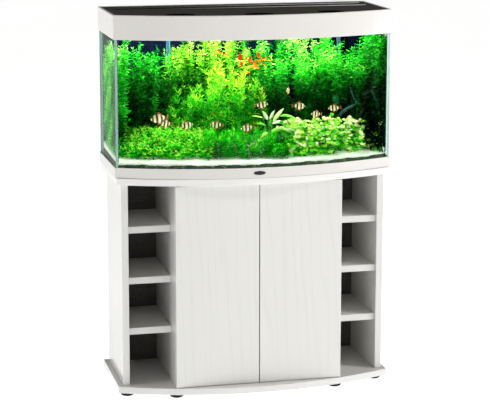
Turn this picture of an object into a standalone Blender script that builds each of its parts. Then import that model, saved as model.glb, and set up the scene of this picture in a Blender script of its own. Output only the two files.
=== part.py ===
"""Bow-front aquarium on a stand with open side shelves, two doors and a lid with three flaps.

Metres, +Z up. The origin is on the floor, at the middle of the footprint. +X is the
viewer's right, -Y is the bowed front, and the flat back is at y = +DEPTH / 2.
"""

import math

import bmesh
import bpy
from mathutils import Matrix, Vector

# ---- driving dimensions ----
WIDTH = 0.920  # over the lid and the bottom frame
SIDE_DEPTH = 0.315  # of the straight side, back to front corner
BOW = 0.105  # how far the front bulges past its corners
DEPTH = SIDE_DEPTH + BOW
GAP = 0.0004  # between pieces that touch
ARC_STEPS = 24

FOOT_HEIGHT = 0.017
FOOT_RADIUS = 0.025
BOARD = 0.022  # cabinet board thickness
CABINET_HEIGHT = 0.7305  # floor to the top of the top panel
PLATE_WIDTH = 0.912  # base panel and top panel
PLATE_SIDE_DEPTH = 0.322
SIDE_FACE_X = 0.440  # outer face of a side panel
SIDE_FRONT_Y = -0.102
DIVIDER_FACE_X = 0.2765  # outer face of a divider, and of the door in front of it
DOOR_FRONT_Y = -0.174
DOOR_THICKNESS = 0.018
DOOR_GAP = 0.003
SHELF_FRONT_Y = -0.090
SHELF_TOPS = (0.228, 0.397, 0.5655)

FRAME_BOTTOM = 0.7309  # the tank's bottom frame
FRAME_TOP = 0.764
GLASS = 0.008
GLASS_INSET = 0.0034  # glass face behind the frame's outer face
GLASS_BOTTOM = 0.7384
BOTTOM_GLASS = 0.010
HOOD_BOTTOM = 1.174
HOOD_TOP = 1.252
HOOD_WALL = 0.008
SAND_FRONT_Z = 0.779
SAND_BACK_Z = 0.800

LID_TOP = 1.2506
FLAP_THICKNESS = 0.004
FLAP_SPAN = 0.752  # the three flaps together
FLAP_HINGE_Y = 0.0605
FLAP_COUNT = 3
LIGHT_TOP = 1.2130

BACK_Y = DEPTH / 2


def srgb(red, green, blue):
    """Linear colour from 0-255 display values."""
    def linear(value):
        share = value / 255
        return share / 12.92 if share <= 0.04045 else ((share + 0.055) / 1.055) ** 2.4
    return (linear(red), linear(green), linear(blue), 1.0)


def make_material(name, colour, roughness, metallic=0.0, transmission=0.0):
    material = bpy.data.materials.new(name)
    material.use_nodes = True
    shader = material.node_tree.nodes["Principled BSDF"]
    shader.inputs["Base Color"].default_value = colour
    shader.inputs["Roughness"].default_value = roughness
    shader.inputs["Metallic"].default_value = metallic
    shader.inputs["Transmission Weight"].default_value = transmission
    return material


def make_materials():
    """One material for each finish, by name."""
    finishes = {
        "white_board": (srgb(232, 231, 226), 0.25),
        "white_plastic": (srgb(228, 226, 221), 0.22),
        "back_board": (srgb(70, 68, 64), 0.6),
        "black_rubber": (srgb(18, 18, 18), 0.6),
        "lid_plastic": (srgb(66, 63, 59), 0.35),
        "glass": (srgb(205, 232, 222), 0.02, 0.0, 1.0),
        "film": (srgb(0, 18, 62), 0.35),
        "steel": (srgb(190, 190, 188), 0.3, 1.0),
        "latch_plastic": (srgb(150, 150, 148), 0.45),
        "aluminium": (srgb(205, 207, 208), 0.35, 1.0),
        "tube_white": (srgb(240, 246, 255), 0.3),
        "filter_plastic": (srgb(16, 18, 22), 0.45),
        "sponge": (srgb(42, 92, 170), 0.9),
        "sand": (srgb(238, 238, 228), 0.9),
        "plant_green": (srgb(46, 150, 20), 0.6),
    }
    return {name: make_material(name, *values) for name, values in finishes.items()}


# ---- the bowed outline ----
class Bow:
    """Plan outline with a straight back, straight sides and an arc for its front."""

    def __init__(self, half, back_y, centre_y, radius):
        self.half = half
        self.back_y = back_y
        self.centre_y = centre_y
        self.radius = radius

    def inset(self, distance):
        return Bow(self.half - distance, self.back_y - distance, self.centre_y,
                   self.radius - distance)

    def front_y(self, x):
        return self.centre_y - math.sqrt(self.radius**2 - x**2)

    def arc(self, x_from, x_to, steps=ARC_STEPS):
        """Points along the front from x_from to x_to, evenly spaced by angle."""
        first = math.asin(x_from / self.radius)
        last = math.asin(x_to / self.radius)
        points = []
        for i in range(steps + 1):
            angle = first + (last - first) * i / steps
            points.append((self.radius * math.sin(angle),
                           self.centre_y - self.radius * math.cos(angle)))
        return points

    def outline(self):
        """Anticlockwise from the back left corner."""
        front = self.arc(-self.half, self.half)
        return [(-self.half, self.back_y), *front, (self.half, self.back_y)]


def bow(width, side_depth, depth=DEPTH):
    """The outline of this width whose sides are side_depth deep and whose whole depth is depth."""
    half = width / 2
    bulge = depth - side_depth
    radius = (half**2 + bulge**2) / (2 * bulge)
    return Bow(half, BACK_Y, BACK_Y - depth + radius, radius)


TANK = bow(WIDTH, SIDE_DEPTH)
PLATE = bow(PLATE_WIDTH, PLATE_SIDE_DEPTH)
GLASS_OUTER = TANK.inset(GLASS_INSET)
GLASS_INNER = TANK.inset(GLASS_INSET + GLASS)
LID = TANK.inset(HOOD_WALL + GAP)


# ---- making solids ----
def add_object(name, mesh_builder, material):
    """A named mesh object from a function that fills a bmesh."""
    mesh = bpy.data.meshes.new(name)
    shape = bmesh.new()
    mesh_builder(shape)
    bmesh.ops.recalc_face_normals(shape, faces=shape.faces)
    shape.to_mesh(mesh)
    shape.free()
    mesh.materials.append(material)
    made = bpy.data.objects.new(name, mesh)
    bpy.context.scene.collection.objects.link(made)
    return made


def round_edges(obj, width, segments=1):
    """Takes the sharp edges off, as board edging and moulded plastic have."""
    edge = obj.modifiers.new("edge", "BEVEL")
    edge.width = width
    edge.segments = segments
    edge.limit_method = "ANGLE"
    edge.angle_limit = math.radians(40)
    return obj


def box(name, low, high, material):
    """A box between two corners."""
    centre = (Vector(low) + Vector(high)) / 2
    size = Vector(high) - Vector(low)

    def fill(shape):
        bmesh.ops.create_cube(shape, size=1.0)
        bmesh.ops.scale(shape, vec=size, verts=shape.verts)
        bmesh.ops.translate(shape, vec=centre, verts=shape.verts)

    return add_object(name, fill, material)


def slab(name, points, bottom, top, material, top_of=None):
    """An outline extruded up. top_of(x, y) gives a top that isn't level."""
    def fill(shape):
        lower = [shape.verts.new((x, y, bottom)) for x, y in points]
        upper = [shape.verts.new((x, y, top_of(x, y) if top_of else top)) for x, y in points]
        shape.faces.new(lower[::-1])
        shape.faces.new(upper)
        count = len(points)
        for i in range(count):
            after = (i + 1) % count
            shape.faces.new((lower[i], lower[after], upper[after], upper[i]))

    return add_object(name, fill, material)


def ring(name, bow_outline, profile, material):
    """A wall that follows the outline. The profile lists (inset, height) round the section."""
    def fill(shape):
        loops = []
        for inset, height in profile:
            loop = bow_outline.inset(inset).outline()
            loops.append([shape.verts.new((x, y, height)) for x, y in loop])
        for i, loop in enumerate(loops):
            other = loops[(i + 1) % len(loops)]
            for j in range(len(loop)):
                after = (j + 1) % len(loop)
                shape.faces.new((loop[j], loop[after], other[after], other[j]))

    return add_object(name, fill, material)


def turned(name, centre, profile, material, steps=24, turn=None):
    """A solid of revolution about Z through centre. The profile lists (radius, height)."""
    def fill(shape):
        loops = []
        for radius, height in profile:
            loop = []
            for i in range(steps):
                angle = 2 * math.pi * i / steps
                loop.append(shape.verts.new((radius * math.cos(angle),
                                             radius * math.sin(angle), height)))
            loops.append(loop)
        for lower, upper in zip(loops, loops[1:]):
            for i in range(steps):
                after = (i + 1) % steps
                shape.faces.new((lower[i], lower[after], upper[after], upper[i]))
        shape.faces.new(loops[0][::-1])
        shape.faces.new(loops[-1])
        if turn:
            bmesh.ops.transform(shape, matrix=turn, verts=shape.verts)
        bmesh.ops.translate(shape, vec=Vector(centre), verts=shape.verts)

    made = add_object(name, fill, material)
    made.data.shade_smooth()
    made.data.set_sharp_from_angle(angle=math.radians(40))
    return made


def tube(name, centre, outer, inner, bottom, top, material, steps=20):
    """An upright pipe, open at both ends."""
    def fill(shape):
        loops = []
        for radius, height in ((outer, bottom), (outer, top), (inner, top), (inner, bottom)):
            loop = []
            for i in range(steps):
                angle = 2 * math.pi * i / steps
                loop.append(shape.verts.new((centre[0] + radius * math.cos(angle),
                                             centre[1] + radius * math.sin(angle), height)))
            loops.append(loop)
        for i, loop in enumerate(loops):
            other = loops[(i + 1) % len(loops)]
            for j in range(steps):
                after = (j + 1) % steps
                shape.faces.new((loop[j], loop[after], other[after], other[j]))

    return add_object(name, fill, material)


def combine(obj, others, operation):
    """Joins or cuts with helpers, which stay in the file as hidden wire shapes."""
    for i, other in enumerate(others):
        other.hide_render = True
        other.display_type = "WIRE"
        step = obj.modifiers.new(f"{operation.lower()}_{i}", "BOOLEAN")
        step.operation = operation
        step.object = other
        step.solver = "EXACT"
    return obj


def along_y():
    """Turns +Z to -Y, for round parts that point to the front."""
    return Matrix.Rotation(math.radians(90), 4, "X")


def on_axis(name, point, pieces):
    """Hangs the pieces on an empty at the axis that they turn or slide on."""
    axis = bpy.data.objects.new(name, None)
    bpy.context.scene.collection.objects.link(axis)
    axis.location = point
    for piece in pieces:
        piece.parent = axis
        piece.matrix_parent_inverse = Matrix.Translation(-Vector(point))
    return axis


# ---- cabinet ----
BASE_TOP = FOOT_HEIGHT + GAP + BOARD
TOP_PANEL_BOTTOM = CABINET_HEIGHT - BOARD
SIDE_INNER_X = SIDE_FACE_X - BOARD
DIVIDER_INNER_X = DIVIDER_FACE_X - BOARD
BACK_BOARD_FRONT = BACK_Y - 0.031
DOOR_BACK_Y = DOOR_FRONT_Y + DOOR_THICKNESS
DIVIDER_FRONT_Y = DOOR_BACK_Y + 0.0027


def make_plates(finish):
    """The bowed base panel and top panel."""
    for name, bottom, top in (("base_panel", FOOT_HEIGHT + GAP, BASE_TOP),
                              ("top_panel", TOP_PANEL_BOTTOM, CABINET_HEIGHT)):
        round_edges(slab(name, PLATE.outline(), bottom, top, finish["white_board"]), 0.0016, 2)


def make_feet(finish):
    """Eight glides, one under each end of the four upright panels."""
    profile = ((0.018, 0.0), (0.0225, 0.003), (FOOT_RADIUS, 0.011), (FOOT_RADIUS, FOOT_HEIGHT))
    rows = (("front", {"outer": -0.075, "inner": -0.130}), ("rear", {"outer": 0.160, "inner": 0.160}))
    for row, places in rows:
        for side, sign in (("left", -1), ("right", 1)):
            for place, x in (("outer", 0.422), ("inner", 0.268)):
                turned(f"foot_{row}_{side}_{place}", (sign * x, places[place], 0), profile,
                       finish["black_rubber"], 20)


def make_uprights(finish):
    """Side panels and dividers, standing between the two plates."""
    bottom = BASE_TOP + GAP
    top = TOP_PANEL_BOTTOM - GAP
    for side, sign in (("left", -1), ("right", 1)):
        for name, outer, front, back in (
            ("side_panel", SIDE_FACE_X, SIDE_FRONT_Y, BACK_Y - 0.020),
            ("divider", DIVIDER_FACE_X, DIVIDER_FRONT_Y, BACK_BOARD_FRONT - GAP),
        ):
            xs = sorted((sign * outer, sign * (outer - BOARD)))
            round_edges(box(f"{name}_{side}", (xs[0], front, bottom), (xs[1], back, top),
                            finish["white_board"]), 0.0010, 2)


def make_back_board(finish):
    """Thin board across all three bays, with a cut-out for cables in the middle one."""
    board = box("back_panel", (-SIDE_INNER_X + GAP, BACK_BOARD_FRONT, BASE_TOP + GAP),
                (SIDE_INNER_X - GAP, BACK_BOARD_FRONT + 0.003, TOP_PANEL_BOTTOM - GAP),
                finish["back_board"])
    hole = box("cable_hole_cutter", (-0.090, BACK_BOARD_FRONT - 0.010, 0.540),
               (0.090, BACK_BOARD_FRONT + 0.013, 0.640), finish["back_board"])
    combine(board, [hole], "DIFFERENCE")


def make_shelves(finish):
    """Three shelves in each open side bay."""
    for side, sign in (("left", -1), ("right", 1)):
        xs = sorted((sign * (DIVIDER_FACE_X + GAP), sign * (SIDE_INNER_X - GAP)))
        for number, top in enumerate(SHELF_TOPS, 1):
            round_edges(box(f"shelf_{side}_{number}", (xs[0], SHELF_FRONT_Y, top - BOARD),
                            (xs[1], BACK_BOARD_FRONT - GAP, top), finish["white_board"]),
                        0.0010, 2)


# ---- doors, their hinges and latches ----
DOOR_BOTTOM = BASE_TOP + 0.0016
DOOR_TOP = TOP_PANEL_BOTTOM - 0.0020
HINGE_HEIGHTS = {"lower": 0.130, "upper": 0.616}
CUP_RADIUS = 0.0175
CUP_DEPTH = 0.0115
CUP_X = DIVIDER_FACE_X - 0.0225  # centre of a hinge cup
LATCH_X = 0.045
LATCH_Z = TOP_PANEL_BOTTOM - 0.010
PLUNGER_RADIUS = 0.0040


def make_door(side, sign, finish):
    """A flat overlay door with two hinge cups let into its back, on its hinge axis."""
    xs = sorted((sign * DIVIDER_FACE_X, sign * DOOR_GAP / 2))
    door = box(f"door_{side}", (xs[0], DOOR_FRONT_Y, DOOR_BOTTOM), (xs[1], DOOR_BACK_Y, DOOR_TOP),
               finish["white_board"])
    round_edges(door, 0.0012, 2)
    pieces = [door]
    cutters = []
    for place, height in HINGE_HEIGHTS.items():
        centre = (sign * CUP_X, DOOR_BACK_Y, height)
        recess = ((CUP_RADIUS + GAP, -0.005), (CUP_RADIUS + GAP, CUP_DEPTH + GAP))
        cutters.append(turned(f"cup_cutter_{side}_{place}", centre, recess, finish["steel"],
                              24, along_y()))
        cup = turned(f"hinge_cup_{side}_{place}", centre, ((CUP_RADIUS, -0.0010),
                     (CUP_RADIUS, CUP_DEPTH)), finish["steel"], 24, along_y())
        inner_x = sign * (DIVIDER_INNER_X - 0.0015)
        far_x = sign * (DIVIDER_INNER_X - 0.0120)
        link = box(f"cup_link_{side}_{place}",
                   (min(inner_x, far_x), DOOR_BACK_Y - 0.004, height - 0.007),
                   (max(inner_x, far_x), DOOR_BACK_Y + 0.0105, height + 0.007), finish["steel"])
        pieces.append(combine(cup, [link], "UNION"))
    combine(door, cutters, "DIFFERENCE")
    on_axis(f"door_{side}_axis", (sign * DIVIDER_FACE_X, DOOR_BACK_Y + 0.0005, 0), pieces)


def make_hinge_arms(side, sign, finish):
    """The arms of the cup hinges, screwed to the divider's inner face."""
    for place, height in HINGE_HEIGHTS.items():
        face = sign * (DIVIDER_INNER_X - GAP)
        plate_x = sorted((face, face - sign * 0.004))
        arm = box(f"hinge_arm_{side}_{place}", (plate_x[0], -0.130, height - 0.016),
                  (plate_x[1], -0.085, height + 0.016), finish["steel"])
        bar_x = sorted((face, face - sign * 0.012))
        bar = box(f"arm_bar_{side}_{place}", (bar_x[0], DOOR_BACK_Y + 0.0120, height - 0.006),
                  (bar_x[1], -0.090, height + 0.006), finish["steel"])
        combine(arm, [bar], "UNION")


def make_latch(side, sign, finish):
    """A push-to-open latch under the top panel and its sprung plunger."""
    x = sign * LATCH_X
    front = DOOR_BACK_Y + 0.0060
    body = box(f"latch_body_{side}", (x - 0.008, front, LATCH_Z - 0.0085),
               (x + 0.008, front + 0.060, TOP_PANEL_BOTTOM - GAP), finish["latch_plastic"])
    bore = turned(f"latch_bore_{side}", (x, front, LATCH_Z),
                  ((PLUNGER_RADIUS + GAP, -0.050), (PLUNGER_RADIUS + GAP, 0.010)),
                  finish["latch_plastic"], 16, along_y())
    combine(body, [bore], "DIFFERENCE")
    tip = DOOR_BACK_Y + 0.0006
    plunger = turned(f"latch_plunger_{side}", (x, tip, LATCH_Z),
                     ((PLUNGER_RADIUS, -0.045), (PLUNGER_RADIUS, -0.001),
                      (PLUNGER_RADIUS - 0.001, 0.0)), finish["latch_plastic"], 16, along_y())
    on_axis(f"latch_{side}_axis", (x, tip, LATCH_Z), [plunger])


# ---- tank ----
def make_bottom_frame(finish):
    """White frame that the glass stands in."""
    profile = ((0.0010, FRAME_BOTTOM), (0, FRAME_BOTTOM + 0.0010), (0, FRAME_TOP - 0.0012),
               (0.0010, FRAME_TOP), (0.0030, FRAME_TOP), (0.0030, GLASS_BOTTOM - GAP),
               (0.0240, GLASS_BOTTOM - GAP), (0.0240, FRAME_BOTTOM))
    ring("bottom_frame", TANK, profile, finish["white_plastic"])


def make_glass(finish):
    """Five panes: the side panes run full depth, and the others stand between them."""
    glass = finish["glass"]
    top = HOOD_BOTTOM - GAP
    outer = GLASS_OUTER
    inner = GLASS_INNER
    for side, sign in (("left", -1), ("right", 1)):
        corners = [(outer.half, outer.back_y), (outer.half, outer.front_y(outer.half)),
                   (inner.half, outer.front_y(inner.half)), (inner.half, outer.back_y)]
        points = [(sign * x, y) for x, y in corners]
        round_edges(slab(f"glass_{side}", points, GLASS_BOTTOM, top, glass), 0.0006)
    between = inner.half - GAP
    box("glass_back", (-between, inner.back_y, GLASS_BOTTOM), (between, outer.back_y, top), glass)
    front = outer.arc(-between, between) + inner.arc(between, -between)
    slab("glass_front", front, GLASS_BOTTOM, top, glass)
    floor = inner.inset(GAP).outline()
    slab("glass_bottom", floor, GLASS_BOTTOM, GLASS_BOTTOM + BOTTOM_GLASS, glass)


def make_background(finish):
    """Dark film on the outside of the back pane."""
    box("background_film", (-GLASS_INNER.half, GLASS_OUTER.back_y + GAP, FRAME_TOP + 0.001),
        (GLASS_INNER.half, GLASS_OUTER.back_y + 0.0012, HOOD_BOTTOM - 0.001), finish["film"])


# ---- hood, lid and light ----
def make_hood(finish):
    """White shell on the glass edges, with one ledge for the lid and one for the light."""
    profile = ((0.0008, HOOD_BOTTOM), (0, HOOD_BOTTOM + 0.0008), (0, HOOD_TOP - 0.0018),
               (0.0018, HOOD_TOP), (HOOD_WALL - 0.0012, HOOD_TOP), (HOOD_WALL, HOOD_TOP - 0.0012),
               (HOOD_WALL, 1.2402), (0.0140, 1.2402), (0.0140, 1.2365), (HOOD_WALL, 1.2365),
               (HOOD_WALL, 1.1945), (0.0170, 1.1945), (0.0170, 1.1900), (HOOD_WALL, 1.1900),
               (HOOD_WALL, HOOD_BOTTOM))
    ring("hood_shell", TANK, profile, finish["white_plastic"])


FLAP_PITCH = FLAP_SPAN / FLAP_COUNT
FLAP_EDGE = 0.0015  # from the hinge line to the flap's rear edge
NOTCH_HALF = 0.036  # of a finger notch's width
NOTCH_DEPTH = 0.020
LEDGE_WIDTH = 0.020
LEDGE_AT_NOTCH = 0.006  # the ledge narrows here, so a finger can hook under the flap


def make_lid(finish):
    """Dark fixed lid: a strip along the back, two ends, a ledge in front and two ribs."""
    lid = finish["lid_plastic"]
    half_span = FLAP_SPAN / 2
    rear_edge = FLAP_HINGE_Y + FLAP_EDGE
    left_end = LID.arc(-LID.half, -half_span - 0.0015, 6)
    right_end = LID.arc(half_span + 0.0015, LID.half, 6)
    points = [(-LID.half, LID.back_y), *left_end, (-half_span - 0.0015, rear_edge),
              (half_span + 0.0015, rear_edge), *right_end, (LID.half, LID.back_y)]
    plate_bottom = LID_TOP - FLAP_THICKNESS - 0.0006
    cover = slab("lid_frame", points, plate_bottom, LID_TOP, lid)
    round_edges(cover, 0.0008)
    ledge_top = plate_bottom + 0.0003
    parts = [ring("lid_ledge", LID, ((0, 1.2406), (0, ledge_top), (LEDGE_WIDTH, ledge_top),
                                     (LEDGE_WIDTH, 1.2406)), lid)]
    strip_front = rear_edge - 0.014
    parts.append(box("lid_strip", (-LID.half + 0.004, strip_front, 1.2406),
                     (LID.half - 0.004, rear_edge + 0.010, ledge_top - 0.0001), lid))
    for sign in (-1, 1):
        x = sign * FLAP_PITCH / 2
        parts.append(box(f"lid_rib_{'left' if sign < 0 else 'right'}",
                         (x - 0.006, LID.front_y(x) + 0.006, 1.2410),
                         (x + 0.006, strip_front + 0.006, ledge_top - 0.0002), lid))
        xs = sorted((sign * (half_span - 0.010), sign * (half_span + 0.036)))
        parts.append(box(f"lid_end_{'left' if sign < 0 else 'right'}",
                         (xs[0], LID.front_y(half_span + 0.036) + 0.006, 1.2412),
                         (xs[1], strip_front + 0.006, ledge_top - 0.00015), lid))
    combine(cover, parts, "UNION")
    grooves = []  # a shallow line that carries on the flaps' rear edge, and the finger notches
    for sign in (-1, 1):
        xs = sorted((sign * (half_span + 0.012), sign * (LID.half - 0.008)))
        grooves.append(box(f"lid_groove_{'left' if sign < 0 else 'right'}",
                           (xs[0], FLAP_HINGE_Y - 0.0015, LID_TOP - 0.0018),
                           (xs[1], FLAP_HINGE_Y + 0.0015, LID_TOP + 0.005), lid))
    for i in range(FLAP_COUNT):
        centre = (i - 1) * FLAP_PITCH
        span = NOTCH_HALF - 0.004
        points = LID.inset(LEDGE_AT_NOTCH).arc(centre - span, centre + span, 6)
        points += LID.inset(LEDGE_WIDTH + 0.006).arc(centre + span, centre - span, 6)
        grooves.append(slab(f"lid_notch_{i}", points, 1.2300, 1.2600, lid))
    combine(cover, grooves, "DIFFERENCE")


def notch_points(centre_x, outline):
    """The finger notch in a flap's front edge: half an ellipse, from left to right."""
    points = []
    steps = 10
    for i in range(steps + 1):
        angle = math.pi * i / steps
        x = centre_x - NOTCH_HALF * math.cos(angle)
        points.append((x, outline.front_y(x) + NOTCH_DEPTH * math.sin(angle)))
    return points


def make_flaps(finish):
    """Three flaps that hinge up along their rear edge, each with a finger notch in front."""
    front = LID.inset(0.0006)
    for i, name in enumerate(("left", "centre", "right")):
        centre = (i - 1) * FLAP_PITCH
        low = centre - FLAP_PITCH / 2 + 0.0006
        high = centre + FLAP_PITCH / 2 - 0.0006
        points = [(low, FLAP_HINGE_Y - FLAP_EDGE), *front.arc(low, centre - NOTCH_HALF, 4)[:-1],
                  *notch_points(centre, front), *front.arc(centre + NOTCH_HALF, high, 4)[1:],
                  (high, FLAP_HINGE_Y - FLAP_EDGE)]
        flap = slab(f"lid_flap_{name}", points, LID_TOP - FLAP_THICKNESS, LID_TOP,
                    finish["lid_plastic"])
        round_edges(flap, 0.0007)
        on_axis(f"flap_{name}_axis", (centre, FLAP_HINGE_Y, LID_TOP), [flap])


TUBE_RADIUS = 0.008
TUBE_HALF = 0.400
TUBE_YS = {"front": -0.015, "rear": 0.025}
TUBE_Z = 1.1845


def make_light(finish):
    """Light bar across the hood with two lamp tubes in sockets at its ends."""
    half = TANK.half - HOOD_WALL - 0.0010
    bar = box("light_bar", (-half, -0.042, 1.1950), (half, 0.052, LIGHT_TOP), finish["aluminium"])
    sockets = []
    for sign in (-1, 1):
        xs = sorted((sign * (TUBE_HALF + GAP), sign * (TUBE_HALF + 0.022)))
        sockets.append(box(f"light_socket_{'left' if sign < 0 else 'right'}",
                           (xs[0], -0.027, 1.1745), (xs[1], 0.037, 1.1960),
                           finish["aluminium"]))
    combine(bar, sockets, "UNION")
    sideways = Matrix.Rotation(math.radians(90), 4, "Y")
    for name, y in TUBE_YS.items():
        turned(f"light_tube_{name}", (0, y, TUBE_Z),
               ((TUBE_RADIUS - 0.001, -TUBE_HALF), (TUBE_RADIUS, -TUBE_HALF + 0.001),
                (TUBE_RADIUS, TUBE_HALF - 0.001), (TUBE_RADIUS - 0.001, TUBE_HALF)),
               finish["tube_white"], 16, sideways)


# ---- filter, heater and pipes ----
FILTER_LOW = (0.376, 0.088, 0.804)
FILTER_HIGH = (0.446, 0.198, 1.150)
FILTER_WALL = 0.003


def make_filter(finish):
    """Open-topped filter box in the rear right corner, with pump, media block and heater."""
    low = Vector(FILTER_LOW)
    high = Vector(FILTER_HIGH)
    wall = Vector((FILTER_WALL, FILTER_WALL, FILTER_WALL))
    plastic = finish["filter_plastic"]
    housing = box("filter_housing", low, high, plastic)
    room = box("filter_room_cutter", low + wall, (high.x - wall.x, high.y - wall.y,
                                                  high.z + 0.010), plastic)
    cutters = [room]
    for i in range(6):
        z = low.z + 0.200 + i * 0.013
        cutters.append(box(f"filter_slot_{i}", (low.x + 0.012, low.y - 0.010, z),
                           (high.x - 0.012, low.y + 0.010, z + 0.006), plastic))
    middle_x = (low.x + high.x) / 2
    outlet = (middle_x, low.y, high.z - 0.036)
    cutters.append(turned("filter_outlet_cutter", outlet, ((0.0105, -0.010), (0.0105, 0.010)),
                          plastic, 16, along_y()))
    combine(housing, cutters, "DIFFERENCE")
    front_room = low.y + 0.074
    pump = box("filter_pump", (middle_x - 0.025, low.y + 0.009, high.z - 0.066),
               (middle_x + 0.025, front_room, high.z - 0.010), plastic)
    nozzle = turned("pump_nozzle", outlet, ((0.010, -0.014), (0.010, 0.016), (0.008, 0.026)),
                    plastic, 16, along_y())
    combine(pump, [nozzle], "UNION")
    box("filter_media", (middle_x - 0.029, low.y + 0.006, low.z + 0.005),
        (middle_x + 0.029, front_room, high.z - 0.072), finish["sponge"])
    turned("heater", (middle_x, high.y - 0.019, low.z + 0.006),
           ((0.010, 0), (0.0115, 0.002), (0.0115, 0.235), (0.0135, 0.238), (0.0135, 0.290)),
           finish["glass"], 16)


PIPES = {"left": -0.230, "right": 0.362}
PIPE_Y = 0.176


def make_pipes(finish):
    """Two clear pipes that stand by the back pane and end inside the hood."""
    for name, x in PIPES.items():
        tube(f"glass_pipe_{name}", (x, PIPE_Y), 0.0070, 0.0055, 0.930, 1.205, finish["glass"])


# ---- inside the tank ----
def sand_height(y):
    """The bed rises from the front to the back."""
    front = GLASS_INNER.front_y(0)
    share = (y - front) / (GLASS_INNER.back_y - front)
    return SAND_FRONT_Z + (SAND_BACK_Z - SAND_FRONT_Z) * share


def make_substrate(finish):
    slab("substrate", GLASS_INNER.inset(2 * GAP).outline(), GLASS_BOTTOM + BOTTOM_GLASS + GAP, 0,
         finish["sand"], lambda x, y: sand_height(y))


def make_plants(finish):
    """Three plain masses that stand for the planting."""
    masses = {
        "plants_left": ((-0.425, -0.040, 0.806), (-0.160, 0.150, 1.120)),
        "plants_centre": ((-0.150, -0.060, 0.806), (0.120, 0.150, 1.100)),
        "plants_right": ((0.130, -0.060, 0.806), (0.425, 0.078, 1.000)),
    }
    for name, (low, high) in masses.items():
        mass = box(name, low, high, finish["plant_green"])
        round_edges(mass, 0.030, 3)


def main():
    for old in list(bpy.data.objects):
        bpy.data.objects.remove(old, do_unlink=True)
    finish = make_materials()
    make_plates(finish)
    make_feet(finish)
    make_uprights(finish)
    make_back_board(finish)
    make_shelves(finish)
    for side, sign in (("left", -1), ("right", 1)):
        make_door(side, sign, finish)
        make_hinge_arms(side, sign, finish)
        make_latch(side, sign, finish)
    make_bottom_frame(finish)
    make_glass(finish)
    make_background(finish)
    make_hood(finish)
    make_lid(finish)
    make_flaps(finish)
    make_light(finish)
    make_filter(finish)
    make_pipes(finish)
    make_substrate(finish)
    make_plants(finish)


main()
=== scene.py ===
"""Looks for the bow-front aquarium on its stand: materials, planting, fish, light and camera."""

import math

import bpy
import numpy as np
from mathutils import Matrix, Vector


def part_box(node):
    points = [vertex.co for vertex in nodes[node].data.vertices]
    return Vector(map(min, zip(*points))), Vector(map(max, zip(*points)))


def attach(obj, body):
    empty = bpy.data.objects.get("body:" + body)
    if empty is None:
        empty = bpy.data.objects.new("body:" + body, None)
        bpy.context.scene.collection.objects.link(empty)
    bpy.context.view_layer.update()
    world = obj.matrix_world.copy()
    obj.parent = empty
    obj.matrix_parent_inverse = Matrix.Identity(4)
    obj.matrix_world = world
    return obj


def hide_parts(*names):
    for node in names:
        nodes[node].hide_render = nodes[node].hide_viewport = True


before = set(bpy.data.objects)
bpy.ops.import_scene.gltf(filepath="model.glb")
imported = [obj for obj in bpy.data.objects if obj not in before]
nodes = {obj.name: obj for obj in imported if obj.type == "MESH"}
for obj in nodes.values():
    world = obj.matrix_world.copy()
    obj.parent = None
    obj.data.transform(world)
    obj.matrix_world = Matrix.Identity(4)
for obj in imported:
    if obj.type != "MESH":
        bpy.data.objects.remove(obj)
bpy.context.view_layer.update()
MAIN = "cabinet_and_tank"

# ---- sizes read from the CAD model, in metres ----
FRAME_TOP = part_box("bottom_frame")[1].z
WATER_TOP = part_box("glass_front")[1].z - 0.004
SIDE_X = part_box("glass_left")[1].x * -1 - 0.001  # inner face of a side pane, less a little
BACK_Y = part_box("glass_back")[0].y - 0.001
FLOOR_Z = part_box("glass_bottom")[1].z + 0.0006


def circle_through(half, depth, front):
    """Centre y and radius of the arc that bulges depth past its ends, with its front at y = front."""
    radius = (half**2 + depth**2) / (2 * depth)
    return front + radius, radius


FRAME_LOW, FRAME_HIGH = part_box("bottom_frame")
GLASS_INSET = FRAME_HIGH.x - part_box("glass_right")[1].x
BOW_CENTRE_Y, FRAME_RADIUS = circle_through(FRAME_HIGH.x, 0.105, FRAME_LOW.y)
INNER_RADIUS = FRAME_RADIUS - GLASS_INSET - 0.008 - 0.001


def front_y(x, radius=INNER_RADIUS):
    """Where the inside of the front pane is at x."""
    return BOW_CENTRE_Y - np.sqrt(radius**2 - np.square(x))


# ---- colour ----
def srgb(*display):
    """Linear colour from three 0-255 display values."""
    shares = [value / 255 for value in display]
    return (*(s / 12.92 if s <= 0.04045 else ((s + 0.055) / 1.055) ** 2.4 for s in shares), 1.0)


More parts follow.
